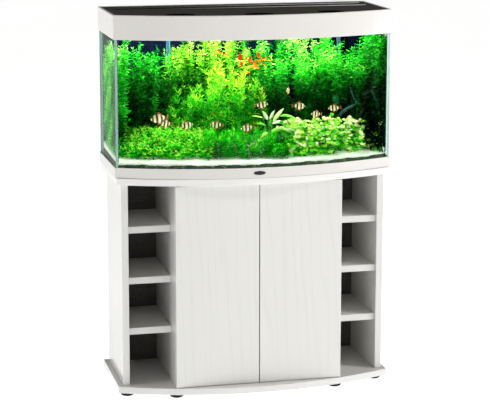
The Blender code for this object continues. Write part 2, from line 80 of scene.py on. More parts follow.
# ---- materials ----
class Nodes:
    """One material's node tree."""

    def __init__(self, name):
        self.material = bpy.data.materials.new(name)
        self.material.use_nodes = True
        self.tree = self.material.node_tree
        self.tree.nodes.clear()
        self.output = self.add("ShaderNodeOutputMaterial")
        self.where = self.add("ShaderNodeTexCoord").outputs["Object"]

    def add(self, kind, inputs=None, **settings):
        made = self.tree.nodes.new(kind)
        for key, value in settings.items():
            setattr(made, key, value)
        self.put(made, inputs or {})
        return made

    def put(self, node, inputs):
        """Links the inputs given as sockets and sets the others."""
        for key, value in inputs.items():
            if isinstance(value, bpy.types.NodeSocket):
                self.tree.links.new(value, node.inputs[key])
            else:
                node.inputs[key].default_value = value

    def coordinate(self, axis):
        """One object coordinate."""
        return self.add("ShaderNodeSeparateXYZ", {"Vector": self.where}).outputs[axis]

    def cells(self, scale):
        """The outputs of a cell pattern."""
        return self.add("ShaderNodeTexVoronoi", {"Vector": self.where, "Scale": scale}).outputs

    def stretched(self, scale):
        """Object coordinates, scaled by axis."""
        return self.add("ShaderNodeMapping", {"Vector": self.where, "Scale": scale}).outputs[0]

    def noise(self, scale, detail=2.0, vector=None, distortion=0.0, rough=0.5):
        return self.add("ShaderNodeTexNoise", {
            "Vector": vector or self.where, "Scale": scale, "Detail": detail,
            "Distortion": distortion, "Roughness": rough}).outputs["Fac"]

    def attribute(self, name):
        return self.add("ShaderNodeAttribute", attribute_name=name).outputs["Fac"]

    def math(self, operation, first, second=0.0, clamp=False):
        return self.add("ShaderNodeMath", {0: first, 1: second}, operation=operation,
                        use_clamp=clamp).outputs[0]

    def plus(self, first, second):
        return self.math("ADD", first, second)

    def minus(self, first, second, clamp=False):
        return self.math("SUBTRACT", first, second, clamp)

    def times(self, first, second, clamp=False):
        return self.math("MULTIPLY", first, second, clamp)

    def size(self, value):
        return self.math("ABSOLUTE", value)

    def steps(self, factor, stops):
        """A ramp of linear colours, given as (place, colour)."""
        made = self.add("ShaderNodeValToRGB", {"Fac": factor})
        steps = made.color_ramp.elements
        while len(steps) < len(stops):
            steps.new(0.5)
        for step, (place, colour) in zip(steps, stops):
            step.position = place
            step.color = colour
        return made.outputs["Color"]

    def ramp(self, factor, *stops):
        """A ramp of display colours, given as (place, colour)."""
        return self.steps(factor, [(place, srgb(*colour)) for place, colour in stops])

    def even_ramp(self, factor, colours):
        """A ramp through evenly spaced display colours."""
        return self.ramp(factor, *((i / (len(colours) - 1), colour) for i, colour in enumerate(colours)))

    def grey(self, factor, *stops):
        """A ramp of grey values, given as (place, value)."""
        return self.steps(factor, [(place, (value, value, value, 1.0)) for place, value in stops])

    def uneven(self, scale, low, high, vector=None):
        """A value that wanders between low and high."""
        return self.grey(self.noise(scale, 2.0, vector), (0.3, low), (0.7, high))

    def mix(self, factor, first, second):
        """Mixes two colours, each a socket or three display values."""
        made = self.add("ShaderNodeMix", {"Factor": factor}, data_type="RGBA")
        for place, colour in ((6, first), (7, second)):  # the colour sockets share their names
            self.put(made, {place: srgb(*colour) if isinstance(colour, tuple) else colour})
        return made.outputs[2]

    def bump(self, height, strength, distance):
        return self.add("ShaderNodeBump", {"Height": height, "Strength": strength,
                                           "Distance": distance}).outputs["Normal"]

    def principled(self, **inputs):
        names = {"colour": "Base Color", "rough": "Roughness", "metal": "Metallic",
                 "normal": "Normal", "specular": "Specular IOR Level", "coat": "Coat Weight",
                 "glow": "Emission Color", "glow_strength": "Emission Strength"}
        return self.add("ShaderNodeBsdfPrincipled",
                        {names[key]: value for key, value in inputs.items()}).outputs[0]

    def clear(self, colour):
        """A shader that only tints what is behind it."""
        return self.add("ShaderNodeBsdfTransparent", {"Color": (*colour, 1.0)}).outputs[0]

    def blend(self, share, first, second):
        return self.add("ShaderNodeMixShader", {0: share, 1: first, 2: second}).outputs[0]

    def finish(self, shader):
        self.tree.links.new(shader, self.output.inputs["Surface"])
        return self.material

    def surface(self, **inputs):
        """Finishes the material with one principled shader."""
        return self.finish(self.principled(**inputs))


def board_material(name, grain_axis, light=(226, 225, 221), dark=(221, 220, 216)):
    """Glossy white foil with a faint embossed ash grain that runs along one axis."""
    n = Nodes(name)
    scale = [26.0, 26.0, 26.0]
    scale["xyz".index(grain_axis)] = 1.5
    grain = n.stretched(scale)
    arches = n.add("ShaderNodeTexWave", {
        "Vector": grain, "Scale": 0.75, "Distortion": 9.0, "Detail": 2.0, "Detail Scale": 0.9,
        "Detail Roughness": 0.55}, bands_direction="DIAGONAL").outputs["Fac"]
    pores = n.noise(9.0, 3.0, grain)
    lines = n.times(n.grey(arches, (0.0, 1.0), (0.22, 0.0)), n.grey(pores, (0.35, 0.2), (0.62, 1.0)))
    tint = n.mix(lines, light, dark)
    colour = n.mix(n.uneven(1.7, 0.0, 0.35), tint, dark)
    height = n.plus(n.times(lines, -1.0), n.times(pores, 0.25))
    rough = n.uneven(6.0, 0.10, 0.17, grain)
    return n.surface(colour=colour, rough=rough, specular=0.5,
                     normal=n.bump(height, 0.02, 0.0005))


def white_plastic():
    """Glossy moulded white of the tank's frame and hood."""
    n = Nodes("white_gloss")
    cloud = n.noise(2.4, 2.0)
    colour = n.mix(n.grey(cloud, (0.3, 0.0), (0.7, 1.0)), (226, 223, 218), (221, 218, 213))
    flow = n.noise(90.0, 2.0)
    rough = n.uneven(14.0, 0.07, 0.13)
    return n.surface(colour=colour, rough=rough, normal=n.bump(flow, 0.02, 0.0003))


def plastic(name, light, dark, rough, grit=900.0, strength=0.15, specular=0.5):
    """Moulded plastic with a fine grain and slightly uneven colour and gloss."""
    n = Nodes(name)
    colour = n.mix(n.noise(11.0, 3.0), dark, light)
    spread = n.uneven(30.0, rough * 0.85, rough * 1.2)
    normal = n.bump(n.noise(grit, 2.0), strength, 0.0003)
    return n.surface(colour=colour, rough=spread, normal=normal, specular=specular)


def metal(name, light, dark, rough):
    """Plated or brushed metal."""
    n = Nodes(name)
    marks = n.noise(1.0, 3.0, n.stretched((40.0, 900.0, 900.0)))
    colour = n.mix(marks, dark, light)
    spread = n.grey(marks, (0.3, rough * 0.8), (0.7, rough * 1.3))
    return n.surface(colour=colour, rough=spread, metal=1.0, normal=n.bump(marks, 0.06, 0.0002))


def bead_material():
    """Moulded beads on the lid, with a painted highlight that makes them paler towards the right."""
    n = Nodes("bead_painted_highlight")
    x = n.coordinate("X")
    # painted highlight: lid grey on the left, near white on the right
    share = n.times(n.plus(x, 0.25), 1.7, clamp=True)
    colour = n.mix(share, (74, 72, 68), (226, 224, 218))
    colour = n.mix(n.uneven(18.0, 0.0, 0.2), colour, (70, 68, 64))
    return n.surface(colour=colour, rough=n.uneven(40.0, 0.25, 0.4),
                     specular=0.1, normal=n.bump(n.noise(700.0, 2.0), 0.1, 0.0003))


def back_board():
    """Pressed board with fine flecks, dark as painted shade for the backs of the bays."""
    n = Nodes("pressed_board_painted_shade")
    flecks = n.noise(260.0, 4.0, rough=0.7)
    colour = n.mix(n.grey(flecks, (0.35, 0.0), (0.65, 1.0)), (62, 60, 57), (92, 88, 82))
    return n.surface(colour=colour, rough=n.grey(flecks, (0.3, 0.55), (0.7, 0.75)),
                     normal=n.bump(flecks, 0.2, 0.0004))


def sheet_glass(name, face_axis, gloss=0.12):
    """Float glass: clear through its faces, green through its cut edges.

    face_axis names the direction that the pane's faces look, or None for a bent pane, whose
    edges look up and down only.
    """
    n = Nodes(name)
    looks = n.add("ShaderNodeSeparateXYZ", {
        "Vector": n.add("ShaderNodeNewGeometry").outputs["True Normal"]}).outputs
    if face_axis is None:
        along = n.minus(1.0, n.size(looks["Z"]))
    else:
        along = n.size(looks[face_axis])
    is_edge = n.math("LESS_THAN", along, 0.75)
    smears = n.noise(7.0, 3.0)
    clear = n.clear((0.955, 0.992, 0.972))
    shine = n.add("ShaderNodeBsdfGlossy", {
        "Color": (0.9, 0.95, 0.93, 1.0),
        "Roughness": n.grey(smears, (0.3, 0.015), (0.7, 0.04))}).outputs[0]
    glance = n.add("ShaderNodeLayerWeight", {"Blend": gloss}).outputs["Fresnel"]
    front_only = n.minus(1.0, n.add("ShaderNodeNewGeometry").outputs["Backfacing"])
    share = n.times(n.times(glance, front_only), 0.85)
    share = n.minus(share, 0.02, clamp=True)  # none face on, where it would only be noise
    pane = n.blend(share, clear, shine)
    edge_colour = n.mix(n.noise(24.0, 2.0), (132, 172, 162), (166, 198, 190))
    rim = n.principled(colour=edge_colour, rough=0.2)
    return n.finish(n.blend(is_edge, pane, rim))


def pipe_glass_painted_reflection():
    """Clear bluish tube whose walls carry a painted reflection, brightest where they are seen edge-on."""
    n = Nodes("pipe_glass_painted_reflection")
    clear = n.clear((0.70, 0.88, 0.96))
    # painted reflection on the walls; the bluish tint is the glass's own
    body = n.principled(colour=n.mix(n.noise(20.0), (84, 150, 190), (150, 200, 226)),
                        rough=0.1, specular=0.3)
    share = n.times(n.add("ShaderNodeLayerWeight", {"Blend": 0.45}).outputs["Facing"], 0.75)
    share = n.plus(share, 0.12)
    return n.finish(n.blend(share, clear, body))


def film_material():
    """Deep blue backdrop film, darker towards the bottom."""
    n = Nodes("backdrop_film")
    height = n.coordinate("Z")
    rise = n.times(n.minus(height, 0.80), 2.6, clamp=True)
    cloud = n.plus(rise, n.times(n.minus(n.noise(5.0, 3.0), 0.5), 0.5))
    colour = n.ramp(cloud, (0.0, (1, 5, 8)), (0.5, (1, 7, 24)), (1.0, (1, 18, 60)))
    return n.surface(colour=colour, rough=n.grey(cloud, (0.0, 0.45), (1.0, 0.55)),
                     specular=0.1)


def lamp_material():
    """Opal tube that gives cool white light."""
    n = Nodes("lamp_tube")
    cloud = n.noise(14.0)
    colour = n.mix(cloud, (236, 244, 255), (250, 252, 255))
    return n.surface(colour=colour, rough=0.3, glow=colour, glow_strength=3.0)


def sponge_material():
    """Blue open-celled foam."""
    n = Nodes("filter_sponge")
    cells = n.cells(420.0)["Distance"]
    colour = n.ramp(cells, (0.0, (14, 40, 92)), (0.6, (52, 108, 190)))
    return n.surface(colour=colour, rough=n.grey(cells, (0.0, 0.95), (0.6, 0.8)),
                     normal=n.bump(cells, 0.7, 0.001))


def sand_material():
    """Fine white sand with a few darker grains, soft green patches of painted reflection of the plants, and a
    faint painted glow.
    """
    n = Nodes("white_sand_painted_light")
    grains = n.cells(620.0)
    speck = n.add("ShaderNodeSeparateColor", {"Color": grains["Color"]}).outputs[0]
    colour = n.ramp(speck, (0.0, (196, 204, 170)), (0.10, (226, 232, 206)),
                    (0.45, (240, 243, 229)), (1.0, (251, 252, 246)))
    # painted reflection of the plants: soft green patches
    cloud = n.grey(n.noise(28.0, 3.0), (0.45, 0.0), (0.70, 0.30))
    colour = n.mix(cloud, colour, (205, 222, 178))
    # the glow here is a painted glow; the sand is no lamp
    return n.surface(colour=colour, rough=n.grey(speck, (0.0, 0.8), (1.0, 0.95)),
                     glow=colour, glow_strength=0.16, normal=n.bump(grains["Distance"], 0.5, 0.001))


def soil_material():
    """Dark planting soil with green moss in it."""
    n = Nodes("mossy_soil")
    grains = n.cells(330.0)
    speck = n.add("ShaderNodeSeparateColor", {"Color": grains["Color"]}).outputs[0]
    moss = n.plus(n.times(speck, 0.45), n.times(n.noise(55.0, 3.0), 0.65))
    colour = n.ramp(moss, (0.25, (10, 22, 14)), (0.5, (22, 62, 40)),
                    (0.68, (66, 92, 48)), (0.9, (150, 168, 120)))
    return n.surface(colour=colour, rough=n.grey(speck, (0.0, 0.55), (1.0, 0.9)),
                     normal=n.bump(grains["Distance"], 0.6, 0.0015))


LEAF_GLOSS = 0.05


def leaf_material(name, glow, *colours):
    """Leaves coloured from dark to light by each leaf's tone, which holds painted light and shade and random
    variation, paler at the tip, with a painted glow.
    """
    n = Nodes(name)
    tone = n.attribute("tone")
    along = n.attribute("along")
    # the tone attribute carries painted light and shade from the planting
    tone = n.minus(n.times(tone, 1.25), 0.03)
    shade = n.plus(tone, n.times(n.minus(along, 0.45), 0.16))
    shade = n.plus(shade, n.times(n.minus(n.noise(55.0, 2.0), 0.5), 0.35))
    colour = n.even_ramp(shade, colours)
    # glow sets a painted glow; leaves are no lamp
    return n.surface(colour=colour, rough=n.uneven(120.0, 0.4, 0.625), specular=LEAF_GLOSS,
                     glow=colour, glow_strength=glow, normal=n.bump(n.noise(260.0, 2.0), 0.2, 0.0006))


def broad_leaf_material(name, glow, vein, *colours):
    """Broad leaves with a midrib and side veins, toned by painted light and shade, with a painted glow."""
    n = Nodes(name)
    tone = n.attribute("tone")
    along = n.attribute("along")
    across = n.size(n.attribute("across"))
    patch = n.times(n.minus(n.noise(60.0, 2.0), 0.5), 0.4)
    colour = n.even_ramp(n.plus(tone, patch), colours)
    rib = n.grey(across, (0.04, 1.0), (0.13, 0.0))
    slant = n.minus(n.times(along, 9.0), n.times(across, 2.2))
    side = n.grey(n.size(n.minus(n.math("FRACT", slant), 0.5)), (0.03, 0.55), (0.10, 0.0))
    lines = n.math("MAXIMUM", rib, side)
    colour = n.mix(n.times(lines, 0.22), colour, vein)
    # glow sets a painted glow
    return n.surface(colour=colour, rough=n.uneven(90.0, 0.32, 0.52), specular=LEAF_GLOSS,
                     glow=colour, glow_strength=glow, normal=n.bump(lines, 0.2, 0.0006))


def wood_material():
    """Waterlogged root, near black in the hollows of its bark and pale teal on its ridges."""
    n = Nodes("sunken_root")
    bark = n.noise(1.0, 5.0, n.stretched((130.0, 130.0, 45.0)), distortion=1.2)
    colour = n.ramp(bark, (0.25, (4, 12, 12)), (0.45, (20, 66, 68)),
                           (0.62, (48, 124, 116)), (0.9, (130, 190, 172)))
    return n.surface(colour=colour, rough=n.grey(bark, (0.3, 0.5), (0.7, 0.8)),
                     normal=n.bump(bark, 0.8, 0.003))


def fish_material():
    """Gold and silver scales with four black bands, red fins, and a faint painted glow."""
    n = Nodes("striped_fish")
    along = n.attribute("along")
    height = n.attribute("across")
    fin = n.attribute("tone")
    flank = n.ramp(n.plus(n.times(height, 0.5), 0.5),
                   (0.0, (240, 240, 196)), (0.45, (232, 222, 140)),
                    (0.75, (204, 178, 70)), (1.0, (120, 104, 40)))
    scales = n.cells(900.0)["Distance"]
    flank = n.mix(n.grey(scales, (0.1, 0.0), (0.5, 0.25)), flank, (255, 250, 220))
    bands = None
    for centre, half in ((0.115, 0.032), (0.340, 0.050), (0.600, 0.046), (0.815, 0.036)):
        gap = n.size(n.minus(along, centre))
        band = n.grey(gap, (half, 1.0), (half + 0.018, 0.0))
        bands = band if bands is None else n.math("MAXIMUM", bands, band)
    body = n.mix(bands, flank, (8, 14, 16))
    fins = n.ramp(n.minus(fin, 1.0), (0.0, (10, 12, 14)), (0.35, (120, 60, 20)),
                                   (0.7, (214, 120, 40)), (1.0, (222, 40, 12)))
    colour = n.mix(n.grey(fin, (0.90, 0.0), (0.95, 1.0)), body, fins)
    return n.surface(colour=colour, rough=n.grey(scales, (0.0, 0.25), (0.5, 0.4)),
                     # the glow is a painted glow
                     glow=colour, glow_strength=0.12,
                     normal=n.bump(scales, 0.2, 0.0004))


def eye_material():
    """A black pupil in a gold iris, by the distance from the eye's middle."""
    n = Nodes("fish_eye")
    colour = n.ramp(n.attribute("along"), (0.0, (230, 186, 60)), (0.62, (214, 160, 40)),
                               (0.70, (6, 6, 8)))
    return n.surface(colour=colour, rough=n.uneven(300.0, 0.05, 0.1),
                     coat=0.6)


def badge_material():
    """Dark lacquered metal."""
    n = Nodes("badge_dark")
    cloud = n.noise(160.0, 3.0)
    colour = n.mix(cloud, (26, 27, 28), (44, 45, 46))
    return n.surface(colour=colour, rough=n.grey(cloud, (0.3, 0.22), (0.7, 0.35)),
                     metal=0.4, normal=n.bump(cloud, 0.1, 0.0002))


def seam_material():
    """Cured silicone, dark and a little see-through."""
    n = Nodes("silicone")
    cloud = n.noise(40.0, 2.0)
    clear = n.clear((0.55, 0.72, 0.66))
    body = n.principled(colour=n.mix(cloud, (96, 132, 124), (128, 160, 150)), rough=0.3)
    share = n.grey(cloud, (0.3, 0.25), (0.7, 0.4))
    return n.finish(n.blend(share, clear, body))


def dress_frame():
    """Gives every CAD node its finished material, by the start of its name."""
    looks = (
        (("door_", "side_panel_"), board_material("white_ash_upright", "z")),
        # the dividers' darker white is painted shade for the bays
        ("divider_", board_material("white_ash_painted_shade", "z", (216, 215, 211), (211, 210, 206))),
        (("shelf_", "base_panel"), board_material("white_ash_level", "x")),
        # the top panel's lighter white is painted light
        ("top_panel", board_material("white_ash_top_painted_light", "x", (238, 237, 234), (232, 231, 228))),
        # the back panel's dark board is painted shade
        ("back_panel", back_board()),
        (("bottom_frame", "hood_shell"), white_plastic()),
        ("foot_", plastic("foot_black", (22, 22, 22), (8, 8, 8), 0.6, specular=0.15)),
        ("lid_", plastic("lid_dark", (82, 79, 74), (73, 70, 66), 0.35, 1300.0, 0.10, 0.0)),
        ("hinge_", metal("plated_steel", (206, 206, 203), (168, 168, 166), 0.25)),
        ("latch_", plastic("latch_grey", (166, 166, 163), (140, 140, 138), 0.4)),
        ("light_bar", metal("satin_aluminium", (220, 222, 223), (190, 192, 194), 0.3)),
        ("light_tube", lamp_material()),
        (("glass_pipe", "heater"), pipe_glass_painted_reflection()),
        (("glass_left", "glass_right"), sheet_glass("glass_side_pane", "X", 0.06)),
        ("glass_back", sheet_glass("glass_flat_pane", "Y")),
        ("glass_bottom", sheet_glass("glass_floor_pane", "Z")),
        ("glass_front", sheet_glass("glass_bent_pane", None, 0.05)),
        ("background_film", film_material()),
        ("filter_media", sponge_material()),
        ("filter_", plastic("filter_black", (2, 8, 22), (1, 5, 13), 0.6, specular=0.0)),
    )
    for name, node in nodes.items():
        for starts, material in looks:
            if name.startswith(starts):
                node.data.materials.clear()
                node.data.materials.append(material)
                break
        node.data.shade_smooth()
        node.data.set_sharp_from_angle(angle=math.radians(28))


# ---- meshes from arrays ----
NO_EDGE = 180.0  # the sharp angle of a piece that's smooth all over


def mesh_piece(name, points, triangles, material, slot, body=MAIN, sharp=None, **attributes):
    """A piece from point and triangle arrays, with one float attribute for each keyword.

    Its faces are flat, or smooth up to edges sharper than the angle given in degrees.
    """
    mesh = bpy.data.meshes.new(name)
    points = np.asarray(points, np.float32)
    triangles = np.asarray(triangles, np.int32)
    mesh.vertices.add(len(points))
    mesh.vertices.foreach_set("co", points.ravel())
    mesh.loops.add(triangles.size)
    mesh.loops.foreach_set("vertex_index", triangles.ravel())
    mesh.polygons.add(len(triangles))
    mesh.polygons.foreach_set("loop_start", np.arange(len(triangles), dtype=np.int32) * 3)
    mesh.update(calc_edges=True)
    for key, values in attributes.items():
        layer = mesh.attributes.new(key, "FLOAT", "POINT")
        layer.data.foreach_set("value", np.asarray(values, np.float32))
    if sharp is None:
        mesh.shade_flat()
    else:
        mesh.shade_smooth()
        if sharp < NO_EDGE:
            mesh.set_sharp_from_angle(angle=math.radians(sharp))
    mesh.materials.append(material)
    made = bpy.data.objects.new(name, mesh)
    bpy.context.scene.collection.objects.link(made)
    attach(made, body)
    return made


def joined(parts):
    """Joins parts, each of points, triangles and any values by point, into one set of arrays."""
    starts = np.cumsum([0] + [len(part[0]) for part in parts[:-1]])
    columns = [np.concatenate(column) for column in zip(*parts)]
    columns[1] = np.concatenate([part[1] + start for part, start in zip(parts, starts)])
    return columns


def loft(rings):
    """Triangles that join equal closed rings of points, with both ends closed."""
    count, sides = rings.shape[:2]
    index = np.arange(count * sides).reshape(count, sides)
    lower = index[:-1]
    upper = index[1:]
    after = np.roll(np.arange(sides), -1)
    quads = np.stack([lower, lower[:, after], upper[:, after], upper], -1).reshape(-1, 4)
    triangles = [quads[:, [0, 1, 2]], quads[:, [0, 2, 3]]]
    for ring, flip in ((index[0], True), (index[-1], False)):
        fan = np.stack([np.full(sides - 2, ring[0]), ring[1:-1], ring[2:]], -1)
        triangles.append(fan[:, ::-1] if flip else fan)
    return rings.reshape(-1, 3), np.concatenate(triangles)


def tube_rings(path, radii, sides, wobble=None):
    """Rings of points round a path."""
    path = np.asarray(path, float)
    radii = np.broadcast_to(radii, len(path))
    run = np.gradient(path, axis=0)
    run /= np.linalg.norm(run, axis=1)[:, None]
    side = np.cross(run, (0.31, 0.87, 0.38))
    side /= np.linalg.norm(side, axis=1)[:, None]
    up = np.cross(run, side)
    angles = np.arange(sides) * 2 * np.pi / sides
    across, rise = np.cos(angles)[None, :, None], np.sin(angles)[None, :, None]
    spread = across * side[:, None] + rise * up[:, None]
    size = radii[:, None, None] * (1 if wobble is None else wobble[..., None])
    return path[:, None] + spread * size


def blade(shape, count):
    """A thin closed leaf, 1 long and 1 wide, along +X: points, triangles, along and across."""
    places = (np.arange(count) + 0.6) / (count + 0.2)
    if shape == "needle":
        wide = np.clip(np.sin(np.pi * places**0.8), 0.25, 1)
    elif shape == "round":
        wide = np.sqrt(np.clip(1 - (2 * places - 1) ** 2, 0.05, 1))
    else:
        wide = np.sin(np.pi * np.clip(places, 0.05, 0.97) ** 0.82) ** 0.9
    points = [(0.0, 0.0, 0.0)]
    across = [0.0]
    along = [0.0]
    for place, width in zip(places, wide):
        lip = 0.10 * width
        points += [(place, -width / 2, lip), (place, 0, -0.06), (place, width / 2, lip), (place, 0, 0.03)]
        across += [-1.0, 0.0, 1.0, 0.0]
        along += [place] * 4
    points.append((1.0, 0.0, 0.0))
    across.append(0.0)
    along.append(1.0)
    last = len(points) - 1
    triangles = []
    for i in range(4):
        j = (i + 1) % 4
        triangles.append((0, 1 + j, 1 + i))
        for ring in range(count - 1):
            a = 1 + 4 * ring + i
            b = 1 + 4 * ring + j
            triangles += [(a, b, b + 4), (a, b + 4, a + 4)]
        triangles.append((last, last - 4 + i, last - 4 + j))
    return np.array(points), np.array(triangles), np.array(along), np.array(across)


def on_sand(x, y, sunk=0.003):
    """A point in the sand, a little below its surface."""
    return np.array([x, y, sand_height(x, y) - sunk])


def sand_height(x, y):
    """The bed's top: it rises to the back and has a few soft mounds."""
    depth = (y - front_y(x)) / (BACK_Y - front_y(x))
    mounds = 0.0022 * np.sin(x * 19 + 1.3) * np.cos(y * 24 + x * 7) + 0.0012 * np.sin(x * 63 + y * 41)
    return 0.7785 + 0.024 * np.clip(depth, 0, 1) ** 0.9 + mounds


PIPES = ("glass_pipe_left", "glass_pipe_right")
SPARE = 0.003  # the space that leaves keep from what stands in the water
KEEP_OUT = [  # low x, high x, low y, high y of what stands in the water
    (low.x - SPARE, high.x + SPARE, low.y - SPARE, high.y + SPARE)
    for low, high in map(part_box, ("filter_housing", *PIPES))]
PIPE_X = [(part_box(pipe)[0].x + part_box(pipe)[1].x) / 2 for pipe in PIPES]
PIPE_Y = (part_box(PIPES[0])[0].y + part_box(PIPES[0])[1].y) / 2
OPEN_SIGHT = [  # a pipe's x, how its view line slants in plan, and how far down it stays clear
    (PIPE_X[0], 0.192, 1.095), (PIPE_X[1], 0.294, 1.125)]


def clump(points, size=0.06):
    """Soft patches from -1 to 1, about size metres across, at an array of points."""
    x, y, z = (np.asarray(points) * (2.2 / size)).T
    return (np.sin(x + 1.7 * np.sin(z * 0.8 + y)) + np.sin(z * 1.1 + 1.9 * np.sin(x * 0.7 + 2.1) + y)) / 2


def ease(value, low, high):
    """0 below low, 1 above high, and smooth between."""
    share = np.clip((value - low) / (high - low), 0, 1)
    return share * share * (3 - 2 * share)


LEAF_FACES = 175000  # the most triangles of leaves in one piece


class Foliage:
    """Collects leaves and stems, and makes pieces of them."""

    def __init__(self, seed):
        self.rng = np.random.default_rng(seed)
        self.leaves = []
        self.tubes = []

    def add_leaves(self, origin, direction, normal, length, width, tone, curl=0.1):
        origin = np.atleast_2d(np.asarray(origin, float))
        total = len(origin)
        self.leaves.append([origin, np.broadcast_to(np.atleast_2d(direction), (total, 3)),
                            np.broadcast_to(np.atleast_2d(normal), (total, 3)),
                            *(np.broadcast_to(np.ravel(v), total) for v in (length, width, tone, curl))])

    def shoot(self, base, tip, leaf, spacing, whorl, rise=(0.1, 0.8), sway=0.005, bare=0.0,
              small_tip=0.6, radius=0.0007, lit=0.0, tip_gain=0.12, uneven=0.11, curl=0.1,
              face=0.4):
        """A thin stem with whorls of leaves, each leaf a (length, width). Returns its path.

        face turns the leaves towards the front of the tank.
        """
        rng = self.rng
        base, tip = np.asarray(base, float), np.asarray(tip, float)
        count = max(int(np.linalg.norm(tip - base) / spacing), 3)
        t = np.linspace(0, 1, count)
        waves = np.sin(t[:, None] * np.pi * rng.uniform(0.8, 2.2, 3) + rng.uniform(0, 6.28, 3))
        path = base + (tip - base) * t[:, None]
        path += sway * (waves - waves[0]) * t[:, None] * (1, 1, 0.3)
        self.tubes.append((path[::2] if count > 7 else path, radius))
        keep = t >= bare
        at, t = path[keep], t[keep]
        count = len(t)
        size = (count, whorl)
        angle = rng.uniform(0, 6.28) + np.arange(count)[:, None] * 1.1
        angle = angle + np.arange(whorl)[None] * 2 * np.pi / whorl + rng.normal(0, 0.3, size)
        lift = rise[0] + (rise[1] - rise[0]) * t[:, None] ** 2 + rng.normal(0, 0.25, size)
        cos, sin = np.cos(angle), np.sin(angle)
        direction = np.stack([cos * np.cos(lift), sin * np.cos(lift), np.sin(lift)], -1)
        normal = np.stack([-cos * np.sin(lift), -sin * np.sin(lift), np.cos(lift)], -1)
        normal += rng.normal(0, 0.35, (*size, 3)) - np.array([0.1, 1.0, 0.0]) * face
        scale = (1 - (1 - small_tip) * t[:, None] ** 4) * rng.uniform(0.65, 1.2, size)
        # painted light: lit sets the level and the tip term lightens the shoot toward its tip; uneven is
        # random
        tone = lit + tip_gain * t[:, None] ** 3 + rng.normal(0, uneven, size)
        self.add_leaves(np.repeat(at, whorl, 0), direction.reshape(-1, 3), normal.reshape(-1, 3),
                        leaf[0] * scale, leaf[1] * scale, tone, curl)
        return path

    def plant(self, base, crown, arm, arm_gap, bare=0.1, sway=0.012, lit=0.0, **looks):
        """A stem with side shoots up to arm metres long, one every arm_gap metres."""
        rng = self.rng
        lit = lit + rng.normal(0, 0.05)
        path = self.shoot(base, crown, bare=bare, sway=sway, lit=lit, **looks)
        for t in np.arange(bare + 0.02, 0.98, arm_gap / np.linalg.norm(crown - base)):
            start = path[int(t * (len(path) - 1))]
            angle, lift = rng.uniform(0, 2 * np.pi), rng.uniform(0.2, 1.25)
            out = np.array([np.cos(angle) * np.cos(lift), np.sin(angle) * np.cos(lift) * 0.7,
                            np.sin(lift)])
            end = start + out * arm * rng.uniform(0.45, 1.2) * (1 - 0.5 * t)
            end[2] = min(end[2], max(path[-1][2], start[2] + 0.004) + 0.006)
            self.shoot(start, end, lit=lit + rng.normal(0, 0.06), **looks)

    def bed(self, count, xs, ys, top, ragged=0.08, spread=0.02, **growth):
        """Plants spread over an area, up to a skyline given as heights at xs."""
        rng = self.rng
        for _ in range(count):
            x, y = rng.uniform(xs[0], xs[-1]), rng.uniform(*ys)
            crown = np.interp(x, xs, top) - rng.uniform(0, 1) ** 1.5 * ragged
            base = on_sand(x, y, 0.004)
            tip = np.array([x + rng.normal(0, spread), y + rng.normal(0, spread * 0.6),
                            max(crown, base[2] + 0.03)])
            self.plant(base, tip, **growth)

    def piece(self, name, material, shape, rings, shade=None, sharp=None):
        """Makes the leaves, toned by painted light and shade, and the stems, in pieces of up to LEAF_FACES
        triangles.
        """
        origin, direction, normal, length, width, tone, curl = (
            np.concatenate([leaf[i] for leaf in self.leaves]) for i in range(7))
        keep = np.ones(len(origin), bool)
        middle = origin + direction * length[:, None] * 0.5
        for low_x, high_x, low_y, high_y in KEEP_OUT:
            for spot in (origin, middle):
                keep &= ~((spot[:, 0] > low_x) & (spot[:, 0] < high_x)
                          & (spot[:, 1] > low_y) & (spot[:, 1] < high_y))
        for x, slope, low_z in OPEN_SIGHT:
            away = middle[:, 0] - (x + (middle[:, 1] - PIPE_Y) * slope)
            keep &= ~((np.abs(away) < 0.011) & (middle[:, 2] > low_z) & (middle[:, 1] > -0.02))
        origin, direction, normal, length, width, tone, curl = (
            part[keep] for part in (origin, direction, normal, length, width, tone, curl))
        if shade is not None:
            tone = tone + shade(middle[keep])
        direction = direction / np.linalg.norm(direction, axis=1)[:, None]
        side = np.cross(normal, direction)
        side /= np.linalg.norm(side, axis=1)[:, None] + 1e-9
        up = np.cross(direction, side)
        values = (origin, direction, side, up, length, width, tone, curl)
        outline = blade(shape, rings)
        count = math.ceil(len(origin) * len(outline[1]) / LEAF_FACES)
        made = []
        for i, chosen in enumerate(np.array_split(np.arange(len(origin)), count)):
            parts = [leaf_mesh(outline, *(value[chosen] for value in values))]
            if i == 0:
                parts += [stem_mesh(path, radius, shade) for path, radius in self.tubes]
            points, triangles, tones, along, across = joined(parts)
            made.append(mesh_piece(f"{name}_{i + 1}" if i else name, inside_tank(points), triangles,
                                   material, "plant_green", sharp=sharp, tone=tones, along=along,
                                   across=across))
        return made


def leaf_mesh(outline, origin, direction, side, up, length, width, tone, curl):
    """The arrays of many leaves of one outline."""
    points, triangles, along, across = outline
    spread = (origin[:, None]
              + direction[:, None] * (length[:, None] * points[None, :, 0])[..., None]
              + side[:, None] * (width[:, None] * points[None, :, 1])[..., None]
              + up[:, None] * (width[:, None] * points[None, :, 2])[..., None])
    spread[..., 2] -= (curl * length)[:, None] * points[None, :, 0] ** 2
    total = len(origin)
    steps = np.arange(total)[:, None, None] * len(points)
    return (spread.reshape(-1, 3), (triangles[None] + steps).reshape(-1, 3),
            np.repeat(tone, len(points)), np.tile(along, total), np.tile(across, total))


